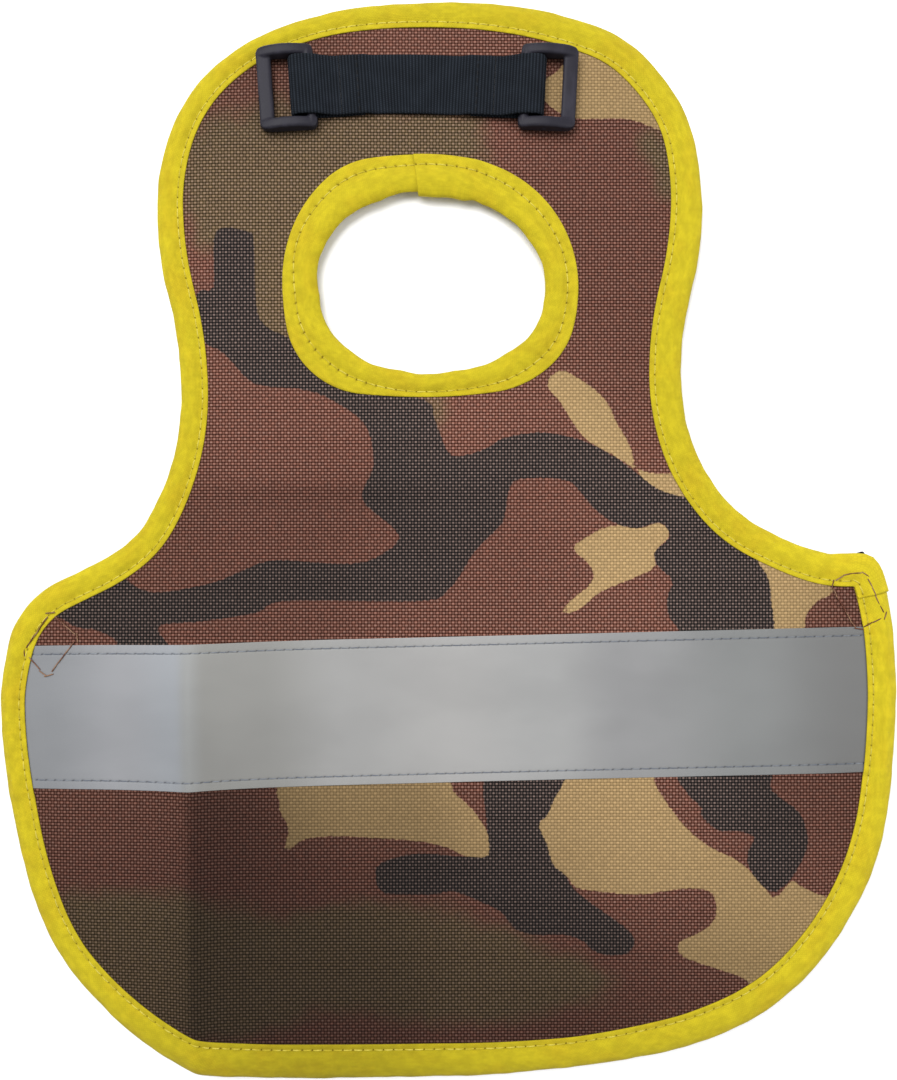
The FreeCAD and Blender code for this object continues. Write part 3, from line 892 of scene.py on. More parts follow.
def cloth_layer(name, verts, tris, low, high, material):
    """A closed thin sheet between two heights over the drape, in mm."""
    count = len(verts)
    lift = drape(verts)
    top = np.column_stack([verts, lift + high])
    bottom = np.column_stack([verts, lift + low])
    # An edge that only one triangle has is on the rim, where the sheet gets its side.
    sides = {}
    for tri in tris.tolist():
        for a, b in ((tri[0], tri[1]), (tri[1], tri[2]), (tri[2], tri[0])):
            if (b, a) in sides:
                del sides[(b, a)]
            else:
                sides[(a, b)] = True
    faces = tris.tolist() + (tris[:, ::-1] + count).tolist()
    faces += [[a, a + count, b + count, b] for a, b in sides]
    obj = make_object(name, np.concatenate([top, bottom]), faces, material)
    set_vectors(obj, "cloth", np.column_stack([np.tile(verts, (2, 1)) * MM, np.zeros(2 * count)]))
    return obj


def patch_distance(points, patches):
    """Signed distance to the nearest of several patches, in metres."""
    best = np.full(len(points), 1e3)
    for patch in patches:
        best = np.minimum(best, signed_distance(points, curve_loop(patch)))
    return best * MM


def cloth_painted_shade(points):
    """Painted shade and light of the cloth at points in mm: darker towards the bottom, with a
    painted dark side at the crease and the step.
    """
    marks = np.array(CLOTH_PAINTED_SHADE, float)
    gap = points[:, None, :] - marks[None, :, :2]
    weight = np.exp(-(gap ** 2).sum(2) / (2 * PAINTED_SHADE_REACH ** 2)) + 1e-9
    tone = (weight * marks[:, 2]).sum(1) / weight.sum(1)
    across = points[:, 0] + 89
    lower = smooth_step(-points[:, 1], 72, 92)
    right = smooth_step(across, -2.5, 2.5) * np.exp(-np.maximum(across, 0) / 20)
    left = (1 - smooth_step(across, -2.5, 2.5)) * np.exp(np.minimum(across, 0) / 30)
    under = STEP_Y - points[:, 1]
    fold = smooth_step(under, -3, 2) * np.exp(-np.maximum(under, 0) / 10)
    fold = fold * np.exp(-((points[:, 0] + 50) / 38) ** 2)
    return tone * (1 - lower * (0.34 * right - 0.12 * left)) * (1 - 0.25 * fold)


def across_fold(obj, *nodes):
    """Bakes the piece's place into its mesh; it stands for the CAD halves at the neck fold that it
    is given, which are hidden.
    """
    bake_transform(obj)
    if nodes:
        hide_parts(*nodes)


# ---- tape ----------------------------------------------------------------------------
# The folded tape's section: share of the width from the rolled edge (the stitch row is at
# ROW_SHARE), height over the cloth's front, and how much the stitches pull it down there.
ROW_SHARE = 0.82
TAPE_FRONT = [(1.0, 0.05, 0.0), (0.995, 0.33, 0.1), (0.97, 0.46, 0.3), (0.92, 0.5, 0.5),
              (0.87, 0.5, 0.7), (0.845, 0.49, 0.8), (0.82, 0.48, 1.0), (0.795, 0.51, 0.8),
              (0.77, 0.57, 0.65), (0.71, 0.78, 0.4), (0.63, 1.04, 0.15), (0.53, 1.24, 0.0),
              (0.42, 1.34, 0.0), (0.31, 1.3, 0.0), (0.21, 1.1, 0.0), (0.12, 0.76, 0.0),
              (0.055, 0.32, 0.0), (0.016, -0.14, 0.0), (0.0, -0.6, 0.0)]
TAPE_BACK = [(0.02, -1.0, 0.0), (0.08, -1.32, 0.0), (0.2, -1.42, 0.0), (0.5, -1.44, 0.0),
             (0.82, -1.4, 0.0), (0.97, -1.38, 0.0), (1.0, -0.98, 0.0)]
TAPE_INSIDE = [(0.6, -0.96, 0.0), (0.09, -0.94, 0.0), (0.06, -0.48, 0.0), (0.09, 0.0, 0.0),
               (0.6, 0.02, 0.0)]


def band_lift(points):
    """How much the reflective band holds up what lies over its ends, in mm."""
    up = (points - np.array(BAND_MIDDLE)) @ heading(BAND_TILT + 90)
    return 0.34 * (1 - smooth_step(np.abs(up), BAND_HALF_WIDTH - 0.5, BAND_HALF_WIDTH + 2.5))


TAPE_REST = 0.6             # share of the width where the tape rests on the band
ROW_BACK = 1.42             # the stitch row on the back, under the cloth's front
LAP_RUN = 7.0               # the end on top rises over this far, in mm
LAP_RISE = 0.55
LAP_DROP = 0.3              # the same on the back


def tape(name, lines, looks, material, start, on_top, overlap, grow):
    """Folded tape between matching lines, with one end laid on the other.

    lines are the rolled edge, the sewn edge and the stitch row between them. on_top says
    which end lies over: its last stretch is lifted by the tape under it, and stands out
    by grow."""
    rolled, sewn, row = lines
    holes = stitch_count(along(row)[1], looks.tape_stitch / MM, True)
    rolled, sewn, row = pace(row, holes * STATIONS_PER_STITCH, rolled, sewn, row)
    stations = len(row)
    step = along(row)[1] / stations
    extra = int(overlap / step)
    first = nearest_station(rolled, *start)
    first = first - extra if on_top == "end" else first
    order = (np.arange(stations + extra) + first) % stations
    edge, inward = rolled[order], (sewn - rolled)[order]
    width = np.linalg.norm(inward, axis=1)
    row_share = np.linalg.norm(row[order] - edge, axis=1) / width
    phase = (order % STATIONS_PER_STITCH) / STATIONS_PER_STITCH
    hole = np.exp(-((phase - 0.5) / 0.13) ** 2)
    s = np.arange(len(order)) * step
    rng = np.random.default_rng(SEED)
    puffs, leans = np.zeros(len(order)), np.zeros(len(order))
    for length, size in ((5.2, 0.022), (7.9, 0.035), (13.0, 0.05), (23.0, 0.06), (41.0, 0.07)):
        puffs += size * np.sin(s * 2 * math.pi / length + rng.uniform(0, 6.28))
        leans += 1.4 * size * np.sin(s * 2 * math.pi / (1.3 * length) + rng.uniform(0, 6.28))
    if on_top == "start":
        lift = 1 - smooth_step(s, overlap, overlap + LAP_RUN)
    else:
        lift = smooth_step(s, s[-1] - overlap - LAP_RUN, s[-1] - overlap)
    section = TAPE_FRONT + TAPE_BACK + TAPE_INSIDE
    rings = np.zeros((len(order), len(section), 3))
    cloth = np.zeros((len(order), len(section), 3))
    marks = np.zeros((len(order), len(section)))
    over_band = band_lift(edge + inward * TAPE_REST)
    side = -inward / width[:, None]
    for k, (share, height, pull) in enumerate(section):
        front = k < len(TAPE_FRONT)
        outside = front or k < len(TAPE_FRONT) + len(TAPE_BACK)
        if share < ROW_SHARE:
            part = row_share * share / ROW_SHARE
        else:
            part = row_share + (1 - row_share) * (share - ROW_SHARE) / (1 - ROW_SHARE)
        body = max(0.0, 1 - ((share - 0.4) / 0.4) ** 2) if front else 0.0
        z = height + puffs * body * 1.5 - pull * (0.05 + 0.27 * hole)
        if outside:
            z = z + lift * (LAP_RISE if front else -LAP_DROP)
        if front or not outside:
            z = z + over_band * (1 if share > 0.3 and height >= 0 else 0)
        push = leans * (1 - share) * 0.8 + (lift * grow if share < 0.1 and outside else 0)
        rings[:, k, :2] = edge + inward * part[:, None] + side * push[:, None]
        lying = edge + inward * np.maximum(part, 0.08)[:, None]
        rings[:, k, 2] = Z_FRONT / MM + drape(lying) + z
        cloth[:, k, 0] = s * MM
        cloth[:, k, 1] = width * part * (1 if front else -1) * MM
        # Marks of painted shade in the needle holes.
        marks[:, k] = hole * max(0.0, pull - 0.7) / 0.25
    obj = sweep(name, rings, cloth, material)
    set_numbers(obj, "hole", marks.ravel())
    # The tone holds painted light and shade over the tape.
    set_numbers(obj, "tone", tape_painted_shading(rings.reshape(-1, 3)))
    row_lift = np.zeros(stations)
    np.maximum.at(row_lift, order, lift * LAP_RISE)
    base = Z_FRONT / MM + drape(row)
    top = base + band_lift(rolled + (sewn - rolled) * TAPE_REST) + 0.4 + row_lift
    return obj, np.column_stack([row, top]), np.column_stack([row, base - ROW_BACK])


def tape_painted_shading(points):
    """Painted light and shade of the tape at points in mm: darker at the bottom, lighter at the
    sides.
    """
    x, y = points[:, 0], points[:, 1]
    sides = 0.17 * smooth_step(x, 60, 150) + 0.07 * smooth_step(-x, 80, 150)
    bottom = 0.32 * np.exp(-((x + 42) / 48) ** 2) * smooth_step(-y, 140, 175)
    return 1.06 + sides - bottom - 0.04 * smooth_step(y, 130, 180)


def edge_lines():
    """The outline, its tape's sewn edge and its stitch row, station by station."""
    count = int(along(EDGE_LINE)[1] / 0.9)
    wide = widths_along(resample(EDGE_LINE, count))
    rolled, sewn = inset_loop(EDGE_LINE, wide, count)
    row = sewn + (rolled - sewn) * (EDGE_STITCH_MARGIN / wide)[:, None]
    return rolled, sewn, row


def neck_lines():
    """The opening's edge, its tape's edge on the panel and its stitch row."""
    lines = []
    angle = np.linspace(0, 2 * math.pi, 400, endpoint=False)[::-1] + math.pi / 2
    way = np.stack([np.cos(angle), np.sin(angle)], 1)
    for nodes in (NECK_EDGE, NECK_TAPE, NECK_STITCH):
        line = smooth_loop(nodes) - np.array(NECK_MIDDLE)
        turn = np.arctan2(line[:, 1], line[:, 0])
        order = np.argsort(turn)
        radius = np.interp(angle, turn[order], np.hypot(*line.T)[order], period=2 * math.pi)
        lines.append(way * radius[:, None] + np.array(NECK_MIDDLE))
    corners = 0.5 * np.abs(np.sin(5.5 * angle + 0.9)) - 0.25
    lines[0] += way * corners[:, None]
    return lines


# ---- webbing -------------------------------------------------------------------------
def web_section(width, thick):
    """Half-round edged section of webbing: across and up, in mm."""
    half, t = width / 2, thick / 2
    top = [(-half + 0.15, 0.55), (-half + 0.6, 0.9), (-half + 1.5, 1.0), (-half + 1.9, 0.8),
           (-half + 2.3, 1.0), (-half / 3, 1.0), (half / 3, 1.0), (half - 2.3, 1.0),
           (half - 1.9, 0.8), (half - 1.5, 1.0), (half - 0.6, 0.9), (half - 0.15, 0.55)]
    points = [(x, z * t) for x, z in top] + [(half, 0.0)]
    points += [(x, -z * t) for x, z in top[::-1]] + [(-half, 0.0)]
    return np.array(points)


def ribbon(name, path, side, width, thick, looks, material, taper=None):
    """Webbing along a path of 3-D points in mm, ribbed across, with side its width way."""
    s, length = along(path, False)
    count = int(length / (looks.rib_pitch / MM / 4)) + 1
    ask = np.linspace(0, length, count)
    path = np.stack([np.interp(ask, s, path[:, i]) for i in range(3)], 1)
    side = np.stack([np.interp(ask, s, side[:, i]) for i in range(3)], 1)
    side /= np.linalg.norm(side, axis=1)[:, None]
    tangent = np.gradient(path, axis=0)
    tangent /= np.linalg.norm(tangent, axis=1)[:, None]
    up = np.cross(tangent, side)
    up /= np.linalg.norm(up, axis=1)[:, None]
    section = web_section(width, thick - 0.2)
    rib = 0.1 * np.cos(2 * math.pi * ask / (looks.rib_pitch / MM))
    scale = np.ones(count) if taper is None else taper(ask, length)
    rings = np.zeros((count, len(section), 3))
    cloth = np.zeros((count, len(section), 3))
    for k, (across, z) in enumerate(section):
        swell = np.sign(z) * rib if abs(z) > 0.3 * thick else 0 * rib
        flat = across * scale
        rings[:, k] = path + side * flat[:, None] + up * (z + swell)[:, None]
        cloth[:, k, 0] = ask * MM
        cloth[:, k, 1] = flat * MM
    return sweep(name, rings, cloth, material)


def seat_of(side):
    """A slide's bar axis in mm, its outward direction and its bar direction."""
    joint = JOINTS[f"slide_{side}_tilt"]
    centre = np.array(joint["pos_m"]) / MM
    bar = np.array(joint["axis"])
    bar = bar if bar[1] > 0 else -bar
    sign = -1.0 if side == "left" else 1.0
    outward = sign * np.array([bar[1], -bar[0], 0.0])
    return centre, outward, bar


# ---- settings ------------------------------------------------------------------------
def colour_property(name, description, default):
    """A colour that a user can change."""
    return bpy.props.FloatVectorProperty(name=name, description=description, subtype="COLOR",
                                         default=default, min=0.0, max=1.0)


def length_property(name, description, default):
    """A length in metres that a user can change."""
    return bpy.props.FloatProperty(name=name, description=description, default=default,
                                   subtype="DISTANCE", unit="LENGTH", precision=5)


class VestLooks(bpy.types.PropertyGroup):
    """Colours and fine sizes of the vest's cloth, tape, webbing and plastic."""
    brown: colour_property("Brown", "Ground colour of the print", (0.106, 0.0345, 0.021))
    black: colour_property("Black", "Dark patches of the print", (0.0125, 0.0102, 0.0102))
    tan: colour_property("Tan", "Light patches of the print", (0.33, 0.22, 0.1))
    olive: colour_property("Olive", "Green patches of the print", (0.085, 0.057, 0.024))
    # Colour of the pale unprinted weft crowns, with their painted highlight.
    pale_crown_and_highlight_colour: colour_property("Yarn light", "Crowns of the weft yarns", (0.32, 0.225, 0.19))
    yellow: colour_property("Yellow", "Edge and neck tape", (0.43, 0.35, 0.011))
    yellow_warm: colour_property("Warm yellow", "Blotches of the tape", (0.42, 0.315, 0.01))
    lining: colour_property("Lining", "Back fabric", (0.02, 0.02, 0.022))
    webbing: colour_property("Webbing", "Bridge and straps", (0.0075, 0.0095, 0.013))
    plastic: colour_property("Plastic", "Slides", (0.019, 0.018, 0.025))
    weft_lift: bpy.props.FloatProperty(name="Weft lift", description="Weft against warp brightness",
                                       default=0.3, min=0.0, max=1.0)
    # How strongly the weft crowns show it: pale unprinted yarn and painted highlight.
    pale_crown_and_highlight: bpy.props.FloatProperty(name="Glint", description="Lightness of the weft crowns",
                                   default=0.7, min=0.0, max=1.0)
    weave_pitch: length_property("Weave pitch", "One yarn of the outer fabric", 0.00107)
    tape_stitch: length_property("Tape stitch", "Stitch length on the tapes", 0.0035)
    band_stitch: length_property("Band stitch", "Stitch length on the band", 0.0032)
    box_stitch: length_property("Box stitch", "Stitch length on the strap boxes", 0.0033)
    thread_radius: length_property("Thread radius", "Sewing thread", 0.00023)
    rib_pitch: length_property("Rib pitch", "Ribs across the webbing", 0.00108)


class VestStage(bpy.types.PropertyGroup):
    """Camera, floor and light."""
    lens: bpy.props.FloatProperty(name="Lens", description="Focal length in mm", default=26.0)
    floor: colour_property("Floor", "Paper under the vest", (0.95, 0.95, 0.95))
    key: bpy.props.FloatProperty(name="Key light", description="Softbox power in W", default=13.9)
    side: bpy.props.FloatProperty(name="Side light", description="Softbox power in W", default=3.5)
    fill: bpy.props.FloatProperty(name="Fill light", description="World strength", default=0.42)


# ---- operators -----------------------------------------------------------------------
class VestOperator:
    """What the vest's operators share."""
    bl_options = {"REGISTER", "UNDO"}

    @property
    def looks(self):
        """The colours and sizes that the user has set."""
        return bpy.context.scene.vest_looks

    def thread(self, name, colour, other):
        """A thread's material, made once."""
        return bpy.data.materials.get(name) or thread_material(name, colour, other)


class VEST_OT_cloth(VestOperator, bpy.types.Operator):
    """Builds the printed outer fabric and the lining"""
    bl_idname = "vest.cloth"
    bl_label = "Outer Fabric and Lining"

    def execute(self, context):
        wall = TAPE_PLY / MM + 0.45     # the cloth stops short of the tape's rolled edge
        outer = inset_loop(EDGE_LINE, wall, 900)[1]
        neck = resample(NECK_LINE, 300)
        hole = neck - right_normals(neck) * wall
        fine, coarse = 2.3, 4.0         # spacing of the points
        verts, tris = flat_panel(fine, outer, hole)
        front = cloth_layer("outer_fabric", verts, tris, Z_SHELL / MM, Z_FRONT / MM,
                            camouflage_material(self.looks))
        both = np.tile(verts, (2, 1))
        for name, patches in (("black_edge", BLACK_PATCHES), ("tan_edge", TAN_PATCHES),
                              ("olive_edge", OLIVE_PATCHES)):
            set_numbers(front, name, patch_distance(both, patches))
        # The tone holds painted shade and light over the cloth.
        set_numbers(front, "tone", cloth_painted_shade(both))
        back_verts, back_tris = flat_panel(coarse, outer, hole)
        back = cloth_layer("lining", back_verts, back_tris, Z_LINING / MM, Z_SHELL / MM - 0.02,
                           lining_material(self.looks))
        for piece, kind in ((front, "outer_fabric"), (back, "lining")):
            across_fold(piece, kind + "_main", kind + "_flap")
        return {"FINISHED"}


class VEST_OT_tapes(VestOperator, bpy.types.Operator):
    """Builds the edge binding and the neck binding with their stitches"""
    bl_idname = "vest.tapes"
    bl_label = "Bindings and Stitching"

    def execute(self, context):
        looks = self.looks
        cloth = tape_material(looks)
        yellow = self.thread("yellow_sewing", (0.58, 0.49, 0.07), (0.46, 0.37, 0.02))
        edge, row, under = tape("edge_binding", edge_lines(), looks, cloth,
                                start=(151.6, -18.0), on_top="end", overlap=10.0, grow=0.45)
        self.sew_tape(edge, "edge", row, under, yellow)
        neck, row, under = tape("neck_binding", neck_lines(), looks, cloth,
                                start=(-10.4, 120.0), on_top="start", overlap=19.5, grow=1.5)
        self.sew_tape(neck, "neck", row, under, yellow)
        return {"FINISHED"}

    def sew_tape(self, piece, name, row, under, yellow):
        """The tape's fold and its stitches on the front and on the back."""
        across_fold(piece, name + "_binding_main", name + "_binding_flap")
        looks = self.looks
        length = looks.tape_stitch / MM
        front = sew(name + "_stitches", row, True, looks, length, yellow)
        across_fold(front, name + "_thread_main", name + "_thread_flap")
        back = sew(name + "_stitches_back", under, True, looks, length, yellow, rise=-0.14)
        across_fold(back)


class VEST_OT_band(VestOperator, bpy.types.Operator):
    """Builds the reflective band and its two stitch rows"""
    bl_idname = "vest.band"
    bl_label = "Reflective Band"

    def execute(self, context):
        looks = self.looks
        pitch = looks.band_stitch / MM
        lane = [-25, -24.85, -24, -22.9, -22.45, -22, -21.55, -21.1, -19, -14, -7, 0, 7, 14, 19,
                21.1, 21.55, 22, 22.45, 22.9, 24, 24.85, 25]
        xs = np.arange(-152, 152.1, pitch / 4)
        gx, gy = np.meshgrid(xs, lane, indexing="ij")
        flat = self.on_band(gx.ravel(), gy.ravel())
        limit = signed_distance(flat, resample(EDGE_LINE, 700)).reshape(gx.shape)
        keep = limit.max(1) < -2.5
        ends = np.where(keep)[0]
        gx, gy = gx[ends[0]:ends[-1] + 1], gy[ends[0]:ends[-1] + 1]
        flat = flat.reshape(len(xs), len(lane), 2)[ends[0]:ends[-1] + 1]
        points = flat.reshape(-1, 2)
        phase = (gx / pitch) % 1.0
        near_row = np.exp(-((np.abs(gy) - BAND_ROW) / 0.28) ** 2)
        hole = np.exp(-((phase - 0.5) / 0.17) ** 2) * near_row
        wave = 0.5 + 0.5 * np.cos(2 * math.pi * phase)
        pucker = 0.1 * np.exp(-((np.abs(gy) - 24.6) / 1.4) ** 2) * wave
        dip = 0.1 * hole + 0.04 * near_row
        z = Z_FRONT / MM + drape(points) + (BAND_THICK + pucker - dip).ravel()
        top = np.column_stack([points, z])
        bottom = np.column_stack([points, z - BAND_THICK - 0.03])
        rows, cols = gx.shape
        rings = np.zeros((rows, 2 * cols, 3))
        rings[:, :cols] = top.reshape(rows, cols, 3)
        rings[:, cols:] = bottom.reshape(rows, cols, 3)[:, ::-1]
        cloth = np.zeros((rows, 2 * cols, 3))
        cloth[:, :cols, 0], cloth[:, cols:, 0] = gx * MM, gx * MM
        cloth[:, :cols, 1], cloth[:, cols:, 1] = gy * MM, gy[:, ::-1] * MM
        band = sweep("reflective_band", rings, cloth, reflective_material())
        # Marks of painted shade in the needle holes, on the top only.
        marks = np.zeros((rows, 2 * cols))
        marks[:, :cols] = hole
        set_numbers(band, "hole", marks.ravel())
        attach(band, "main_panel")
        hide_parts("reflective_band")
        grey = self.thread("grey_sewing", (0.12, 0.135, 0.165), (0.2, 0.215, 0.24))
        for side, node in ((1, "band_thread_upper"), (-1, "band_thread_lower")):
            reach = self.row_reach(side, pitch)
            stitches = node.replace("thread", "stitches")
            back = node.replace("thread", "stitches_back")
            self.row(stitches, reach, BAND_THICK + 0.02, 0.1, grey, node)
            self.row(back, reach, BAND_BACK, -0.1, grey)
        return {"FINISHED"}

    def on_band(self, x, y):
        """Points on the band, which is sewn a little unevenly near the crease, in mm."""
        end = np.clip((-92 - x) / 58, 0, 1)
        y = y * (1 - 0.018 * end) + 0.9 * end - 0.5 * np.exp(-((x + 89) / 26) ** 2)
        return (np.array(BAND_MIDDLE) + x[:, None] * heading(BAND_TILT)
                + y[:, None] * heading(BAND_TILT + 90))

    def row_reach(self, side, pitch):
        """Stitch centres of one row that lie clear of the edge tape."""
        x = np.arange(-60, 61) * pitch
        line = self.on_band(x, np.full(len(x), side * BAND_ROW))
        clear = signed_distance(line, COARSE_EDGE) < np.where(x > 0, -11.2, -9.6)
        return line[clear]

    def row(self, name, line, height, rise, material, node=None):
        """One row of stitches at a height over the cloth's front."""
        path = np.column_stack([line, Z_FRONT / MM + drape(line) + height])
        stitches = sew(name, path, False, self.looks, self.looks.band_stitch / MM, material,
                       rise=rise, radius=0.00018, wander=0.05, share=0.74)
        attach(stitches, "main_panel")
        if node:
            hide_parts(node)


class VEST_OT_bridge(VestOperator, bpy.types.Operator):
    """Builds the webbing bridge, looped round both slides, with its stitches"""
    bl_idname = "vest.bridge"
    bl_label = "Webbing Bridge"

    def execute(self, context):
        looks = self.looks
        web = bpy.data.materials.get("ribbed_webbing") or webbing_material(looks)
        thick, width = 1.2, 20.3
        ground = Z_FRONT / MM + 0.9     # the cloth under the bridge
        low, double = thick / 2 + 0.03, 1.5 * thick + 0.05
        # Each end: out under the slide's bar, round it and back over itself, as the distance
        # outward from the bar and the height over the cloth, in mm.
        path, side = [], []
        for name in ("left", "right"):
            centre, outward, bar = seat_of(name)
            bar_z = centre[2] - ground
            turn_radius = 2.4
            fold = 3.9
            run = [(-18.2, low), (-12, low), (fold - 1, low + 0.15)]
            for angle in np.linspace(-90, 90, 13):
                run.append((fold + turn_radius * math.cos(math.radians(angle)),
                            bar_z + turn_radius * math.sin(math.radians(angle))))
            crest = bar_z + turn_radius
            run += [(1.0, crest - 0.05), (-2.0, crest - 0.55), (-5.2, double + 0.9),
                    (-8.0, double + 0.12), (-10.5, double - 0.04), (-13.5, double + 0.04),
                    (-16.5, double - 0.04), (-19.0, double - 0.1), (-22.0, low + 0.2), (-25.5, low)]
            points = np.array([centre + outward * u + np.array([0, 0, ground + z - centre[2]])
                               for u, z in run])
            ways = np.tile(bar, (len(points), 1))
            path.append(points if name == "left" else points[::-1])
            side.append(ways if name == "left" else ways[::-1])
        share = np.linspace(0.1, 0.9, 9)[:, None]
        middle = path[0][-1] + (path[1][0] - path[0][-1]) * share
        middle[:, 2] += 0.35 * np.sin(share[:, 0] * math.pi)
        ways = side[0][0] + (side[1][0] - side[0][0]) * share
        line = np.concatenate([path[0], middle, path[1]])
        flat_way = np.concatenate([side[0], ways, side[1]])
        bridge = ribbon("bridge_webbing", line, flat_way, width, thick, looks, web)
        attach(bridge, "neck_flap")
        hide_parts("bridge_webbing")
        black = self.thread("black_sewing", (0.006, 0.007, 0.009), (0.012, 0.013, 0.016))
        for name in ("left", "right"):
            centre, outward, bar = seat_of(name)
            for index, reach in enumerate((10.5, 16.5)):
                t = np.linspace(-8.6, 8.6, 12)[:, None]
                row = centre - outward * reach + bar * t
                row[:, 2] = ground + 2 * thick - 0.08
                stitches = sew(f"bridge_stitches_{name}_{index + 1}", row, False, looks, 2.5, black)
                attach(stitches, "neck_flap")
                if index == 0:
                    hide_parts("bridge_thread_" + name)
        return {"FINISHED"}


class VEST_OT_straps(VestOperator, bpy.types.Operator):
    """Builds the two side straps, folded behind the panel, and their box stitches"""
    bl_idname = "vest.straps"
    bl_label = "Side Straps"

    # The box stitching on the front, corner by corner in mm.
    BOXES = {
        "left": [(-136.6, -25.0), (-127.3, -33.3), (-138.0, -47.4), (-145.6, -38.1)],
        "right": [(131.7, -15.2), (135.3, -11.9), (142.4, -11.0), (144.7, -15.6), (147.4, -21.8),
                  (149.9, -26.0), (140.3, -31.0), (137.0, -25.3), (133.6, -19.5)],
    }

    def execute(self, context):
        looks = self.looks
        web = bpy.data.materials.get("ribbed_webbing") or webbing_material(looks)
        brown = self.thread("brown_sewing", (0.11, 0.035, 0.02), (0.26, 0.15, 0.09))
        for side in ("left", "right"):
            self.strap(side, looks, web)
            self.box(side, looks, brown)
        return {"FINISHED"}

    def strap(self, side, looks, web):
        """The sewn tab, the fold round it and the free length that lies behind the panel."""
        joint = JOINTS[f"strap_{side}_swing"]
        fold = np.array(joint["pos_m"]) / MM
        width_way = np.array(joint["axis"])
        outward = np.cross(width_way, (0, 0, 1))
        if outward @ np.array([-1.0 if side == "left" else 1.0, 0, 0]) < 0:
            outward = -outward
        thick = STRAP_THICK / MM
        tab_z, free_z = fold[2] + 0.15 + thick / 2, fold[2] - 0.15 - thick / 2
        radius = (tab_z - free_z) / 2
        flat = np.array([fold[0], fold[1], 0.0])
        run = [(-18.0, tab_z), (-9.0, tab_z), (0.0, tab_z)]
        for angle in np.linspace(75, -75, 7):
            run.append((radius * math.cos(math.radians(angle)),
                        fold[2] + radius * math.sin(math.radians(angle))))
        run += [(0.0, free_z)] + [(-u, free_z) for u in np.linspace(10, STRAP_FREE_LENGTH, 20)]
        path = np.array([flat + outward * u + np.array([0, 0, z]) for u, z in run])
        ways = np.tile(width_way, (len(path), 1))

        def heat_cut(s, total):
            """The webbing's end is melted to a narrower edge."""
            return 1 - 0.28 * smooth_step(s, total - 3.0, total)

        strap = ribbon("side_strap_" + side, path, ways, STRAP_WIDTH, thick, looks, web,
                       heat_cut)
        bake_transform(strap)
        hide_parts("strap_" + side, "strap_tab_" + side)

    def box(self, side, looks, brown):
        """The box of stitches that climbs over the tape and the band."""
        corners = np.array(self.BOXES[side])
        sides = []
        for a, b in zip(corners, np.roll(corners, -1, 0)):
            count = max(2, int(np.linalg.norm(b - a) / 0.8))
            sides.append(a + (b - a) * np.linspace(0, 1, count, endpoint=False)[:, None])
        line = np.concatenate(sides)
        depth = distance_to(line, COARSE_EDGE) * (1.17 if side == "left" else 0.96)
        on_tape = np.interp(depth, [0, 1.5, 4.5, 8.2, 9.2, 10.4, 10.7],
                            [0, 0.7, 1.05, 0.5, 0.5, 0.45, 0.08])
        in_band = np.abs((line - np.array(BAND_MIDDLE)) @ heading(BAND_TILT + 90)) < BAND_HALF_WIDTH
        on_cloth = np.where(in_band & (depth > 10.6), 0.22, 0.04)
        over_end = 0.5 if side == "right" else 0.0
        on_tape = on_tape * 1.15 + over_end * smooth_step(line[:, 1], -19.5, -17.5) * (depth < 10.6)
        z = Z_FRONT / MM + drape(line) + np.maximum(on_tape, on_cloth) + 0.24
        path = np.column_stack([line, z])
        stitches = sew("box_stitches_" + side, path, True, looks, looks.box_stitch / MM, brown,
                       rise=0.1, radius=0.0002, wander=0.08, share=0.97)
        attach(stitches, "main_panel")
        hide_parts("box_thread_" + side)


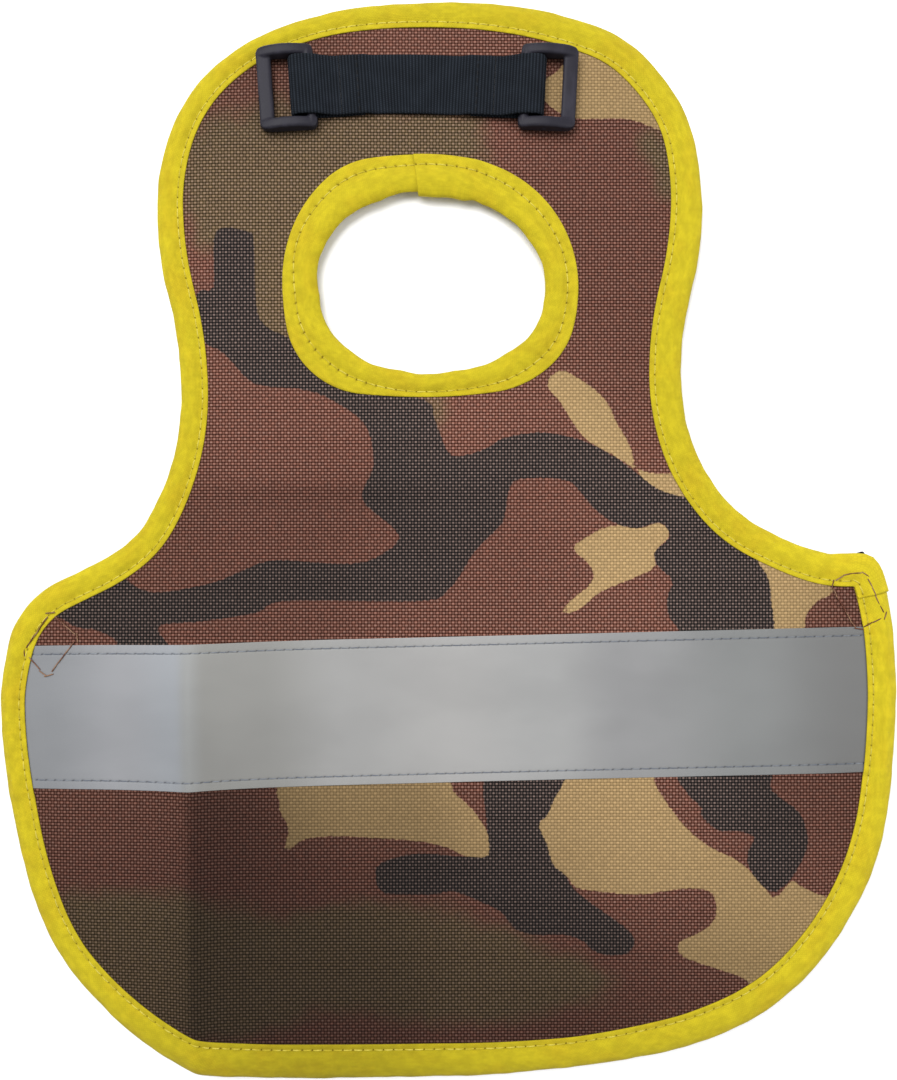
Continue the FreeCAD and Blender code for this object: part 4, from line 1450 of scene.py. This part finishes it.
class VEST_OT_slides(VestOperator, bpy.types.Operator):
    """Builds the two moulded strap slides"""
    bl_idname = "vest.slides"
    bl_label = "Strap Slides"

    def execute(self, context):
        plastic = plastic_material(self.looks)
        for side in ("left", "right"):
            centre, outward, bar = seat_of(side)
            slide = self.moulding("slide_" + side, plastic)
            turn = np.array([outward, bar, (0, 0, 1)]).T
            if np.linalg.det(turn) < 0:
                turn[:, 1] *= -1
            mesh = slide.data
            co = np.zeros(len(mesh.vertices) * 3)
            mesh.vertices.foreach_get("co", co)
            co = co.reshape(-1, 3) @ turn.T + centre * MM
            mesh.vertices.foreach_set("co", co.ravel())
            mesh.update()
            node = "slide_" + side
            slide.name = node + "_loop"
            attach(slide, node)
            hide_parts(node)
        return {"FINISHED"}

    def moulding(self, name, plastic):
        """One slide with its bar along Y and its slot outward along X, in metres."""
        inner, outer = -2.0, 17.6       # its ends from the bar's axis, along X
        slot, cheek = 10.6, 3.6         # half the slot and each cheek, along Y
        verts, faces = [], []

        def block(sections):
            """Adds a closed block through matching outlines."""
            base, around = len(verts), len(sections[0])
            for ring in sections:
                verts.extend(ring)
            for i in range(len(sections) - 1):
                for k in range(around):
                    a, b = base + i * around + k, base + i * around + (k + 1) % around
                    faces.append((a, b, b + around, a + around))
            faces.append(tuple(base + k for k in range(around))[::-1])
            top = base + (len(sections) - 1) * around
            faces.append(tuple(top + k for k in range(around)))

        for sign in (-1, 1):
            rings = []
            for f in np.linspace(0, 1, 9):
                y = slot + cheek * f
                soft = 0.5 * (2 * abs(f - 0.5)) ** 4
                cut = 3.2 * (1 - math.sqrt(max(0, 1 - f ** 3)))
                x0, x1 = inner + 0.45 * cut, outer - cut
                ring = []
                for g in np.linspace(0, 1, 17):
                    x = x0 + (x1 - x0) * g
                    share = min(1, max(0, (x - inner) / (outer - inner)))
                    h = 0.9 + 1.75 * math.sin(math.pi * share) ** 0.8
                    ring.append((x, sign * y, h - soft))
                for g in np.linspace(1, 0, 17):
                    x = x0 + (x1 - x0) * g
                    toe = 0.7 * max(0, 1 - (x - inner) / 2.5)
                    ring.append((x, sign * y, -1.7 + 0.5 * g + toe + soft * 0.6))
                rings.append(ring)
            block(rings)
        def oval(x, y, z, half_x, half_z, count, power=1.0):
            """Points round an oval across Y; a power below 1 makes it squarer."""
            ring = []
            for k in range(count):
                c, s = math.cos(2 * math.pi * k / count), math.sin(2 * math.pi * k / count)
                ring.append((x + half_x * math.copysign(abs(c) ** power, c), y,
                             z + half_z * math.copysign(abs(s) ** power, s)))
            return ring

        reach = slot + 2
        block([oval(outer - 2.5, y, -0.1 - 0.12 * (1 - (y / slot) ** 2), 2.5, 1.15, 24, 0.5)
               for y in np.linspace(-reach, reach, 25)])
        block([oval(0.0, y, 0.0, 1.66, 1.66, 24) for y in np.linspace(-reach, reach, 12)])
        gate = -slot - cheek
        block([oval(7.0, y, 0.2, 0.75, 0.5, 16) for y in (gate - 0.3, gate + 0.4)])
        obj = make_object(name + "_parts", verts, faces, plastic)
        face_outwards(obj)
        weld = obj.modifiers.new("one_moulding", "REMESH")
        weld.mode = "VOXEL"
        weld.voxel_size = 0.3 * MM
        weld.use_smooth_shade = True
        soften = obj.modifiers.new("soft_edges", "SMOOTH")
        soften.factor = 0.5
        soften.iterations = 5
        return plain_copy(obj, name + "_moulding")


class VEST_OT_stage(bpy.types.Operator):
    """Sets the floor, the soft light and the camera"""
    bl_idname = "vest.stage"
    bl_label = "Stage"

    def execute(self, context):
        stage = context.scene.vest_stage
        low, high = (Vector(c) for c in CAD_BOX)
        middle = (low + high) / 2
        mesh = bpy.data.meshes.new("floor")
        reach = 3.0
        mesh.from_pydata([(-reach, -reach, 0), (reach, -reach, 0), (reach, reach, 0),
                          (-reach, reach, 0)], [], [(0, 1, 2, 3)])
        floor = bpy.data.objects.new("floor", mesh)
        context.scene.collection.objects.link(floor)
        mesh.materials.append(floor_material(stage))
        sensor = 36.0
        frame_height = (high.y - low.y) * 1.0015
        distance = stage.lens * frame_height / sensor
        lens = bpy.data.cameras.new("camera")
        lens.lens = stage.lens
        lens.sensor_width = sensor
        lens.clip_start = 0.01
        camera = bpy.data.objects.new("camera", lens)
        camera.location = (middle.x, middle.y, Z_FRONT + distance)
        context.scene.collection.objects.link(camera)
        context.scene.camera = camera
        self.light(context, "key_softbox", (-0.35, 0.45, 0.85), 0.85, stage.key)
        self.light(context, "side_softbox", (0.7, 0.1, 0.6), 0.6, stage.side)
        world = bpy.data.worlds.new("soft_room")
        context.scene.world = world
        world.use_nodes = True
        world.node_tree.nodes["Background"].inputs["Color"].default_value = (1, 1, 1, 1)
        world.node_tree.nodes["Background"].inputs["Strength"].default_value = stage.fill
        context.scene.view_settings.view_transform = "Standard"
        return {"FINISHED"}

    def light(self, context, name, place, size, power):
        """A square softbox at place that faces the vest."""
        data = bpy.data.lights.new(name, "AREA")
        data.shape = "SQUARE"
        data.size = size
        data.energy = power
        obj = bpy.data.objects.new(name, data)
        obj.location = place
        obj.rotation_euler = (-Vector(place)).to_track_quat("-Z", "Y").to_euler()
        context.scene.collection.objects.link(obj)


PIECES = (VEST_OT_stage, VEST_OT_cloth, VEST_OT_tapes, VEST_OT_band, VEST_OT_bridge,
          VEST_OT_straps, VEST_OT_slides)


class VEST_PT_panel(bpy.types.Panel):
    """Sidebar panel with the vest's settings and its build steps"""
    bl_idname = "VEST_PT_panel"
    bl_label = "Bib Vest"
    bl_space_type = "VIEW_3D"
    bl_region_type = "UI"
    bl_category = "Bib Vest"

    def draw(self, context):
        for settings in (context.scene.vest_looks, context.scene.vest_stage):
            for name in settings.__annotations__:
                self.layout.prop(settings, name)
        for piece in PIECES:
            self.layout.operator(piece.bl_idname)


CLASSES = (VestLooks, VestStage) + PIECES + (VEST_PT_panel,)


def register():
    """Adds the settings, the operators and the panel."""
    for item in CLASSES:
        bpy.utils.register_class(item)
    bpy.types.Scene.vest_looks = bpy.props.PointerProperty(type=VestLooks)
    bpy.types.Scene.vest_stage = bpy.props.PointerProperty(type=VestStage)


def unregister():
    """Takes them away again."""
    del bpy.types.Scene.vest_stage
    del bpy.types.Scene.vest_looks
    for item in reversed(CLASSES):
        bpy.utils.unregister_class(item)


def main():
    """Builds the whole vest."""
    register()
    bpy.ops.vest.stage()
    bpy.ops.vest.cloth()
    bpy.ops.vest.tapes()
    bpy.ops.vest.band()
    bpy.ops.vest.bridge()
    bpy.ops.vest.straps()
    bpy.ops.vest.slides()


if __name__ == "__main__":
    main()
